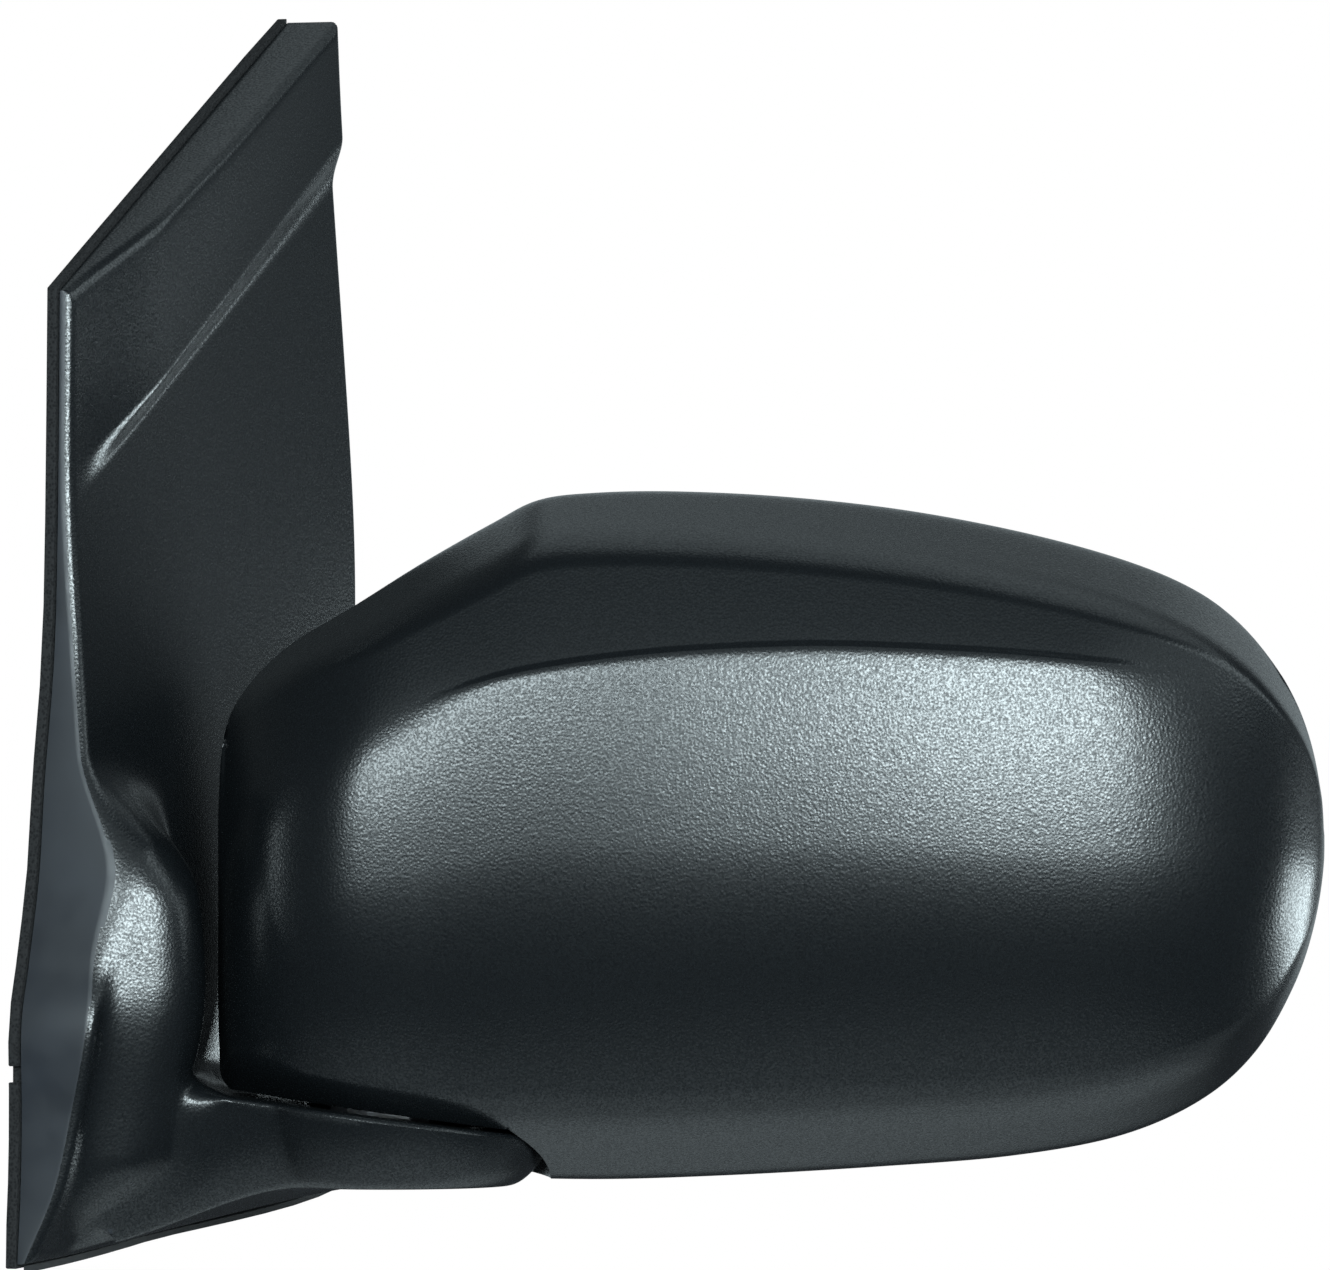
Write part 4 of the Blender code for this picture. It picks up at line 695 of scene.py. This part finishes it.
def upper_spread():
    """Row places from the character line (0) to the upper rim (1)."""
    t = np.linspace(0, 1, UPPER_ROWS)
    far = np.clip((t - 0.2) / 0.8, 0, 1)
    return 0.055 * np.minimum(t / 0.2, 1.0) + 0.945 * far * (1.25 - 0.25 * far)


def head_skin_block(name, margin, material):
    """The head as one closed block with a line of points on the character line."""
    outline, grid = head_grid(margin)
    depth = head_depth(outline, grid, HEAD_DEPTH - margin)
    depth[0, :] = depth[-1, :] = 0
    depth[:, 0] = depth[:, -1] = 0
    front = np.stack([grid[..., 0], HEAD_PLANE - depth, grid[..., 1]], axis=-1)
    points = [tuple(p) for p in front.reshape(-1, 3)]
    faces, rim = grid_sheet(*depth.shape)
    ring = np.array([(points[i][0], points[i][2]) for i in rim])
    last = rim
    straight = [(back, 0) for back in (4, 9, 14, 19, 24, 28, 29.6)]
    for back, rolled in straight + [(30.4, 0.25), (30.85, 0.6), (31.0, 1.1)]:
        band = rear_ring(ring, back)
        band[:, [0, 2]] = inset(band[:, [0, 2]], rolled)
        new = list(range(len(points), len(points) + len(rim)))
        points += [tuple(p) for p in band]
        faces += between(last, new)
        last = new
    faces.append(tuple(last))
    return add_mesh(name, points, faces, HEAD, material)


def rear_ring(outline, back):
    """The outline a distance behind the widest section: it draws in, and stays clear of the sail."""
    share = back / HEAD_REAR
    ring = inset(outline, 2.2 * share**2)
    axis = axis_reach(ring[:, 1])
    radius = axis - outline[:, 0].min()
    nearest = axis - np.sqrt(np.clip(radius**2 - back**2, 0, None))
    gap = ring[:, 0] - nearest
    along = nearest + 0.5 * (gap + np.sqrt(gap**2 + 1.0))
    return np.column_stack([along, np.full(len(ring), HEAD_PLANE + back), ring[:, 1]])


def head_hollow(name, margin, rays, rings, material):
    """The room inside the head, running out past the rim."""
    outline = inset(evenly_round(HEAD_OUTLINE, rays), margin)
    centre = np.array((140.0, 4.0))
    bands = []
    for k in range(1, rings + 1):
        share = math.sin(0.5 * math.pi * k / rings) ** 0.9
        flat = centre + share * (outline - centre)
        depth = head_depth(outline, flat, HEAD_DEPTH - margin)
        if k == rings:
            depth = np.zeros(len(flat))
        bands.append(np.column_stack([flat[:, 0], HEAD_PLANE - depth, flat[:, 1]]))
    for back in (8.0, 16.0, 24.0, HEAD_REAR - 0.9):
        bands.append(rear_ring(outline, back))
    flare = bands[-1].copy()
    flare[:, [0, 2]] = inset(flare[:, [0, 2]], -0.9)
    flare[:, 1] = HEAD_PLANE + HEAD_REAR + 0.05
    bands.append(flare)
    far = flare.copy()
    far[:, 1] += 10
    bands.append(far)
    points, faces = stacked(bands, cap_low=False)
    tip = len(points)
    deepest = head_depth(outline, centre[None], HEAD_DEPTH - margin)[0]
    points.append((centre[0], HEAD_PLANE - deepest, centre[1]))
    faces += [(tip, (i + 1) % rays, i) for i in range(rays)]
    return add_mesh(name, points, faces, HEAD, material)


def foot_clearance(name, margin, material):
    """What the head gives up to the foot: a disc about the fold axis and all below it towards the door."""
    top = PARTING_GAP / 2 + margin
    radius = HEAD_CUT_RADIUS + margin
    disc = turned(name, [(0, -40), (radius, -40), (radius, top), (0, top)], AXIS, material, segments=160)
    slab = box(name + "_slab", (-80, -70, -40.5), (-6.0, 70, top - 0.01), AXIS, material)
    return join(disc, slab)


def pivot_opening(name, low, high, material):
    """The round hole for the pivot, from low to high along the fold axis."""
    profile = [(0, low), (PIVOT_OPENING, low), (PIVOT_OPENING, high), (0, high)]
    return turned(name, profile, AXIS, material, segments=72)


def add_head(plastic):
    shell = head_skin_block("head_shell_skin", 0.0, plastic)
    cut(shell, foot_clearance("foot_clearance", 0.0, plastic))
    hollow = head_hollow("head_hollow", WALL, 150, 34, plastic)
    cut(hollow, foot_clearance("floor_clearance", WALL, plastic))
    cut(shell, hollow)
    cut(shell, pivot_opening("head_floor_opening", -4, 8, plastic))
    tidy_mesh(shell)
    shade(shell, 32)
    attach(shell, "head")
    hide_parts("head_shell")


# ---- sail cover and foot ------------------------------------------------------------------------

def sail_face(across, row):
    """Outer face of the sail: across runs 0 to 1 from front to rear, row counts up the edge lists."""
    front = curve_through(SAIL_FRONT, row)
    rear = curve_through(SAIL_REAR, row)
    place = front + (rear - front) * across[..., None]
    place[..., 1] -= 2.2 * 4 * across * (1 - across) * np.clip(1 - row / 3, 0, 1)
    low = curve_through(SAIL_FRONT_DEPTH, row)
    middle = curve_through(SAIL_MIDDLE_DEPTH, row)
    high = curve_through(SAIL_REAR_DEPTH, row)
    depth = low * (1 - across) * (1 - 2 * across)
    depth = depth + 4 * middle * across * (1 - across) + high * across * (2 * across - 1)
    band = ease(SAIL_STEP_ROW - 0.1, SAIL_STEP_ROW + 0.12, row)
    rise = ease(0.0, 0.3, across) * (1 - 0.35 * ease(0.5, 1.0, across))
    depth = depth + SAIL_BAND_RISE * band * rise + shoulder_flare(place[..., 0], place[..., 1])
    return np.concatenate([depth[..., None], place], axis=-1)


def shoulder_flare(rearwards, up):
    """How far the sail's front edge swells out towards the foot, short of where the head swings."""
    swell = ease(-67.0, -51.0, rearwards) * (1 - ease(-47.0, -25.0, rearwards))
    below = 0.85 + 0.15 * ease(-60.0, -10.0, up)
    return FLARE_RISE * swell * below * (1 - ease(-8.0, 24.0, up)) * ease(-82.0, -64.0, up)


def edge_drop(distance, radius):
    """How far a rounded edge falls below the face at a distance from the rim."""
    near = np.clip(radius - distance, 0, radius)
    return radius - np.sqrt(radius**2 - near**2)


def sail_block(name, margin, lowest, columns, rows, material):
    """The sail as one solid between a low plane and its outer face, drawn in by a margin."""
    radius = SAIL_EDGE_RADIUS
    edge = [radius * s for s in (0.0, 0.03, 0.1, 0.22, 0.4, 0.65, 1.0)]
    reach = SAIL_WIDTH - 2 * margin
    middle = np.linspace(radius, reach - radius, columns)[1:-1]
    distances = np.array(edge + list(middle) + [reach - e for e in reversed(edge)])
    across = (distances + margin) / SAIL_WIDTH
    last = len(SAIL_FRONT) - 1
    low_row, high_row = margin / SAIL_LOW_ROW_HEIGHT, last - margin / SAIL_TOP_ROW_HEIGHT
    row_low = [low_row + e / SAIL_LOW_ROW_HEIGHT for e in edge]
    row_high = [high_row - e / SAIL_TOP_ROW_HEIGHT for e in reversed(edge)]
    step = list(np.linspace(SAIL_STEP_ROW - 0.12, SAIL_STEP_ROW + 0.14, 18))
    evenly = np.linspace(row_low[-1], row_high[0], rows)[1:-1]
    inner = [r for r in evenly if not step[0] < r < step[-1]]
    levels = np.array(row_low + sorted(inner + step) + row_high)
    grid = sail_face(*np.meshgrid(across, levels))
    side = np.minimum(distances, reach - distances)[None, :]
    above, below = (levels - low_row) * SAIL_LOW_ROW_HEIGHT, (high_row - levels) * SAIL_TOP_ROW_HEIGHT
    end = np.minimum(above, below)[:, None]
    grid[..., 0] -= margin + np.maximum(edge_drop(side, radius), edge_drop(end, radius))
    points = [tuple(p) for p in grid.reshape(-1, 3)]
    faces, rim = grid_sheet(*grid.shape[:2])
    floor = list(range(len(points), len(points) + len(rim)))
    points += [(lowest, points[i][1], points[i][2]) for i in rim]
    faces += between(rim, floor)
    faces.append(tuple(reversed(floor)))
    return add_mesh(name, points, faces, DOOR, material)


def foot_plan():
    """Foot seen from above in the door frame: front flare, disc, short rear side."""
    centre = HEAD @ Vector(PIVOT)
    angles = np.linspace(math.radians(-108.0), math.radians(158.0), FOOT_POINTS)
    disc = np.column_stack([centre.x + FOOT_RADIUS * np.cos(angles), centre.y + FOOT_RADIUS * np.sin(angles)])
    corners = np.vstack([FOOT_FRONT_FLARE, disc[:1]])
    flare = curve_through(corners, np.arange(0, len(corners) - 1, 0.1))
    rear = [(24.0, disc[-1][1] + 4.0), (16.0, disc[-1][1] + 5.5), (8.0, disc[-1][1] + 7.0)]
    return np.vstack([flare, disc, rear])


def parting_height(x, y):
    """Height of the plane in which head and foot part, in the door frame."""
    normal = AXIS.to_3x3() @ Vector((0, 0, 1))
    centre = HEAD @ Vector(PIVOT)
    return centre.z - ((x - centre.x) * normal.x + (y - centre.y) * normal.y) / normal.z


def foot_floor(x, y):
    """Height of the foot's underside, which drops towards the sail and towards the front."""
    share = (58.0 - y) / 130.0
    return FOOT_BOTTOM - (1.0 + 15.0 * share) * (1 - ease(6.0, 54.0, x))


def foot_block(name, margin, door_end, material, edge=0.0):
    """The foot as one solid with a softened top edge and its lower edge turned under."""
    plan = foot_plan()
    # (share of the way down, how far turned in, further down)
    levels = [(0.0, 0.0, edge)]
    if edge:
        levels = [(0.0, edge, 0.0), (0.0, 0.5 * edge, 0.13 * edge), (0.0, 0.13 * edge, 0.5 * edge)] + levels
    for angle in np.radians(np.linspace(4.0, 90.0, 20)):
        levels.append((math.sin(angle), 3.6 * math.sin(angle) + 6.4 * (1 - math.cos(angle)), 0.0))
    rings = []
    for drop, turn_in, lower in levels:
        ring = inset(plan, margin + turn_in)
        ring[0] = door_end, ring[1, 1] - 0.5
        ring[-1] = door_end, plan[-1, 1] - margin - turn_in
        ring[:, 0] = np.maximum(ring[:, 0], door_end)
        top = parting_height(ring[:, 0], ring[:, 1]) - PARTING_GAP / 2 - margin
        bottom = foot_floor(ring[:, 0], ring[:, 1]) + margin
        rings.append(np.column_stack([ring, top + (bottom - top) * drop - lower]))
    points, faces = stacked(rings, cap_high=False)
    size = len(plan)
    low = len(points) - size
    # The floor is warped, so it is closed like a ladder, front side to rear side.
    rungs = [(i, i + 1, size - 2 - i, size - 1 - i) for i in range((size - 1) // 2)]
    faces += [tuple(low + i for i in dict.fromkeys(rung)) for rung in rungs]
    return add_mesh(name, points, faces, DOOR, material)


def soften(obj, near, radius, rounds):
    """Evens out the mesh within a radius of some places, as a fillet does, short of the sail's rim."""
    points = coordinates(obj)
    tree = tree_of(near)
    distance = np.array([tree.find(p)[2] for p in points]) / (radius * MM)
    weight = (1 - ease(0.35, 1.0, distance)) * 0.5 * ease(6.0, 10.0, points[:, 0] / MM)
    edges = np.empty(len(obj.data.edges) * 2, np.int64)
    obj.data.edges.foreach_get("vertices", edges)
    a, b = edges.reshape(-1, 2).T
    count = np.bincount(np.concatenate([a, b]), minlength=len(points))[:, None]
    for _ in range(rounds):
        total = np.zeros_like(points)
        np.add.at(total, a, points[b])
        np.add.at(total, b, points[a])
        points += (total / np.maximum(count, 1) - points) * weight[:, None]
    set_coordinates(obj, points)


def junction_places(obj):
    """Where the foot's walls run into the sail's face."""
    across, rows = np.linspace(0, 1, 160), np.linspace(0, 5, 260)
    tree = tree_of(sail_face(*np.meshgrid(across, rows)).reshape(-1, 3))
    work = bmesh.new()
    work.from_mesh(obj.data)
    found = []
    for edge in work.edges:
        if len(edge.link_faces) != 2 or edge.calc_face_angle(0) < math.radians(14):
            continue
        for vert in edge.verts:
            place = vert.co / MM
            if 9 < place.x < 40 and -62 < place.y < 52 and tree.find(place)[2] < 1.2:
                found.append(vert.co.copy())
    work.free()
    return found


def clear_swing(obj):
    """Presses the softened junction back under the circle in which the head swings."""
    from_axis = np.array(AXIS)
    to_axis = np.array(AXIS.inverted())
    places = coordinates(obj) @ to_axis[:3, :3].T + to_axis[:3, 3]
    radius = np.hypot(places[:, 0], places[:, 1]) / MM
    beyond = np.clip(radius - SWING_RADIUS, 0, SWING_FILLET)
    rise = SWING_FILLET - np.sqrt(SWING_FILLET**2 - beyond**2)
    highest = np.where(beyond < SWING_FILLET, (rise - PARTING_GAP / 2) * MM, np.inf)
    places[:, 2] = np.minimum(places[:, 2], highest)
    set_coordinates(obj, places @ from_axis[:3, :3].T + from_axis[:3, 3])


def add_sail(plastic, flank):
    cover = sail_block("sail_cover_skin", 0.0, SAIL_RIM, 110, 200, plastic)
    join(cover, foot_block("foot_skin", 0.0, FOOT_DOOR_END, plastic, edge=FOOT_EDGE_RADIUS))
    tidy_mesh(cover, 0.05)
    soften(cover, junction_places(cover), JUNCTION_RADIUS, JUNCTION_ROUNDS)
    clear_swing(cover)
    cut(cover, sail_block("sail_hollow", WALL, -8.0, 24, 44, plastic))
    cut(cover, foot_block("foot_hollow", WALL, FOOT_HOLLOW_END, plastic))
    cut(cover, pivot_opening("foot_opening", -6, 6, plastic))
    tidy_mesh(cover)
    shade(cover, 32)
    cover.data.materials.append(flank)
    forwards = HEAD.to_3x3() @ Vector((0, -1, 0))
    for face in cover.data.polygons:
        upright = abs(face.normal.x) < 0.35 and abs(face.normal.z) < 0.6 and face.normal.dot(forwards) > 0.2
        if upright and face.center.x < 21.5 * MM and face.center.y < FLANK_FRONT * MM:
            face.material_index = 1
    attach(cover, "base")
    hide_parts("sail_cover")


# ---- glass side ---------------------------------------------------------------------------------

def glass_outline(drawn_in, count):
    shape = inset(evenly_round(GLASS_OUTLINE, count), drawn_in)
    return shape - np.array([GLASS_CENTRE[0], GLASS_CENTRE[2]])


def add_glass(silver, edge):
    """Silvered glass with a ground and chamfered edge."""
    levels = [(0.4, -2.2), (0.0, -1.8), (0.0, -0.6), (0.45, -0.12), (1.0, 0.0)]
    rings = [[(x, GLASS_BACK + back, z) for x, z in glass_outline(drawn, 220)] for drawn, back in levels]
    glass = add_mesh("mirror_glass_pane", *stacked(rings), GLASS, silver, smooth_angle=20)
    glass.data.materials.append(edge)
    rear = GLASS.to_3x3() @ Vector((0, 1, 0))
    for face in glass.data.polygons:
        face.material_index = 0 if abs(face.normal.dot(rear)) > 0.9 else 1
    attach(glass, "glass")
    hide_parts("mirror_glass")


def polar(outline, centre, angles):
    """Reach of a closed outline from a centre at given angles."""
    arms = outline - centre
    bearing = np.arctan2(arms[:, 1], arms[:, 0])
    order = np.argsort(bearing)
    return np.interp(angles, bearing[order], np.hypot(*arms.T)[order], period=2 * math.pi)


def add_bezel(plastic):
    """Frame round the glass: a flat land at the rim that rolls in to the opening."""
    centre = np.array((146.0, 5.0))
    angles = np.linspace(-math.pi, math.pi, 360, endpoint=False)
    ways = np.column_stack([np.cos(angles), np.sin(angles)])
    rim = rear_ring(inset(evenly_round(HEAD_OUTLINE, 900), WALL + 0.5), HEAD_REAR)[:, [0, 2]]
    outer = polar(rim, centre, angles)
    opening = inset(evenly_round(GLASS_OUTLINE, 900), -BEZEL_GAP)
    inner = polar(opening, centre, angles)
    back = HEAD_PLANE + HEAD_REAR
    # (share of the way in, millimetres further, height behind the head's plane)
    section = [
        (0, 0, -1.5), (0, 0.5, -0.95), (0, 1.4, -0.8), (0.45, 0.6, -1.0), (0.75, 0.2, -1.5),
        (1, -1.9, -2.2), (1, -0.8, -2.7), (1, -0.2, -3.3), (1, 0, -3.9), (1, -1.2, -4.0),
        (0.7, 0, -3.2), (0, 1.0, -3.0), (0, 0, -2.8),
    ]
    rings = []
    for share, further, height in section:
        reach = outer + (inner - outer) * share - further
        flat = centre + ways * reach[:, None]
        rings.append(np.column_stack([flat[:, 0], np.full(len(flat), back + height), flat[:, 1]]))
    bezel = add_mesh("glass_bezel_frame", *stacked(rings, close=True), HEAD, plastic, smooth_angle=50)
    cut(bezel, foot_clearance("bezel_clearance", WALL + 0.5, plastic))
    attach(bezel, "head")
    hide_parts("glass_bezel")


# ---- door side ----------------------------------------------------------------------------------

def thread_profile(radius, depth, pitch, low, high):
    """Ridges of a screw thread as (radius, height), from high down to low."""
    profile = []
    height = high
    while height - pitch > low:
        profile += [(radius, height), (radius, height - 0.12 * pitch), (radius - depth, height - 0.5 * pitch),
                    (radius - depth, height - 0.62 * pitch)]
        height -= pitch
    return profile + [(radius, height)]


def add_studs(metal):
    for i, (rearwards, up) in enumerate(STUDS):
        profile = [(0, 4.6), (3.3, 4.6), (3.5, 4.4), (3.5, -0.5), (3.0, -1.0)]
        profile += thread_profile(3.0, 0.5, 1.0, -20.0, -2.0)
        profile += [(2.3, -21.2), (1.9, -21.5), (0, -21.5)]
        place = facing_outboard((0, rearwards, up))
        stud = turned(f"mount_stud_thread_{i + 1}", profile, place, metal, 40, 50)
        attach(stud, "base")
        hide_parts(f"mount_stud_{i + 1}")


def add_cover_screws(metal):
    for i, (rearwards, up) in enumerate(COVER_SCREWS):
        seat = 2.1 if i < 2 else 1.8
        place = facing_outboard((seat, rearwards, up))
        profile = [(0, -1.6), (1.2, -1.58), (2.2, -1.45), (2.9, -1.15), (3.35, -0.75), (3.6, -0.3)]
        profile += [(3.6, 0.0), (1.7, 0.0), (1.7, 4.5), (0.5, 6.0), (0, 6.0)]
        screw = turned(f"cover_screw_head_{i + 1}", profile, place, metal, 40)
        for j, (wide, deep) in enumerate(((0.45, 1.9), (1.9, 0.45))):
            recess = box(f"screw_recess_{i}_{j}", (-wide, -deep, -3.0), (wide, deep, -0.8), place, metal)
            cut(screw, recess)
        shade(screw, 35)
        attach(screw, "base")
        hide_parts(f"cover_screw_{i + 1}")


def dress(nodes, material, bevel=0.0):
    """Gives carried-over nodes their material, and breaks their edges."""
    for name in nodes:
        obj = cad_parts[name]
        obj.data.materials.clear()
        obj.data.materials.append(material)
        if bevel:
            weld = obj.modifiers.new("weld", "WELD")
            weld.merge_threshold = 0.00002
            soft = obj.modifiers.new("bevel", "BEVEL")
            soft.width = bevel * MM
            soft.segments = 2
            soft.limit_method = "ANGLE"
            soft.angle_limit = math.radians(40)


# ---- studio -------------------------------------------------------------------------------------

def add_softbox(name, azimuth, elevation, across, upwards, radiance):
    """A rectangular light facing the mirror; azimuth 0 is the camera's side and 90 its right."""
    data = bpy.data.lights.new(name, "AREA")
    data.shape = "RECTANGLE"
    data.size = 2 * LIGHT_DISTANCE * math.tan(math.radians(across / 2))
    data.size_y = 2 * LIGHT_DISTANCE * math.tan(math.radians(upwards / 2))
    data.energy = radiance * math.pi * data.size * data.size_y
    data.color = LIGHT_COLOUR
    light = bpy.data.objects.new(name, data)
    a, e = math.radians(azimuth), math.radians(elevation)
    away = HEAD.to_3x3() @ Vector((math.sin(a) * math.cos(e), -math.cos(a) * math.cos(e), math.sin(e)))
    light.location = HEAD @ (Vector(VIEW_TARGET) * MM) + away * LIGHT_DISTANCE
    light.rotation_euler = away.to_track_quat("Z", "Y").to_euler()
    light.visible_camera = False
    bpy.context.scene.collection.objects.link(light)


def add_world(ambient, backdrop):
    """A white backdrop as seen, and a dimmer one as it lights the mirror."""
    world = bpy.data.worlds.new("studio")
    world.use_nodes = True
    tree = world.node_tree
    lit = tree.nodes["Background"]
    lit.inputs["Color"].default_value = (*ambient, 1.0)
    seen = tree.nodes.new("ShaderNodeBackground")
    seen.inputs["Color"].default_value = (*backdrop, 1.0)
    path = tree.nodes.new("ShaderNodeLightPath")
    mix = tree.nodes.new("ShaderNodeMixShader")
    tree.links.new(path.outputs["Is Camera Ray"], mix.inputs[0])
    tree.links.new(lit.outputs[0], mix.inputs[1])
    tree.links.new(seen.outputs[0], mix.inputs[2])
    tree.links.new(mix.outputs[0], tree.nodes["World Output"].inputs["Surface"])
    bpy.context.scene.world = world


def add_floor():
    """A pale floor well below the mirror, seen bright but too dim in itself to light the mirror."""
    look = Finish("pale_floor", (0.80, 0.81, 0.82), 0.6)
    look.tint(look.noise(900.0, 2.0), (0.84, 0.85, 0.86))
    glow = look.node("ShaderNodeEmission", Color=(0.80, 0.81, 0.82, 1.0), Strength=0.95)
    path = look.node("ShaderNodeLightPath")
    mix = look.node("ShaderNodeMixShader")
    look.link(path.outputs["Is Camera Ray"], mix.inputs[0])
    look.link(look.shader.outputs[0], mix.inputs[1])
    look.link(glow.outputs[0], mix.inputs[2])
    look.link(mix.outputs[0], look.tree.nodes["Material Output"].inputs["Surface"])
    half = FLOOR_SIDE / 2
    corners = [(x, y, FLOOR_HEIGHT) for x, y in ((-half, -half), (half, -half), (half, half), (-half, half))]
    floor = add_mesh("floor", corners, [(0, 1, 2, 3)], DOOR, look.material)


def main():
    add_camera()
    plastic = textured_black()
    gloss = smooth_black()
    metal = zinc_plate()
    add_head(plastic)
    add_sail(plastic, smooth_flank())
    add_glass(silvered_glass(), glass_edge())
    add_bezel(gloss)
    add_studs(metal)
    add_cover_screws(metal)
    dress(["base_bracket"], die_cast(), 0.5)
    dress(["sail_back_plate"], gloss, 0.4)
    dress(["door_gasket", "glass_pad"], black_foam(), 0.3)
    dress(["bottom_seal"], black_rubber(), 0.3)
    dress(["wire_grommet"], black_rubber())
    dress(["glass_holder"], gloss)
    dress(["head_carrier", "actuator_case_front", "actuator_case_rear"], grey_nylon(), 0.3)
    dress(["gimbal_ring", "tilt_jackscrew", "pan_jackscrew", "tilt_wheel", "pan_wheel", "actuator_plug"],
          white_acetal())
    dress(["fold_spring", "retaining_ring", "detent_ring_lower", "detent_ring_upper"], spring_steel())
    screws = [f"{kind}_screw_{i}" for kind in ("carrier", "actuator") for i in (1, 2, 3)]
    dress(["pivot_tube", "spring_washer", "motor_tilt", "motor_pan", "tilt_worm", "pan_worm"] + screws, metal)
    dress(["harness_lower", "harness_upper"], wire_sleeve())
    add_floor()
    add_world(AMBIENT, BACKDROP)
    for softbox in SOFTBOXES:
        add_softbox(*softbox)
    bpy.context.scene.view_settings.view_transform = "Standard"


main()
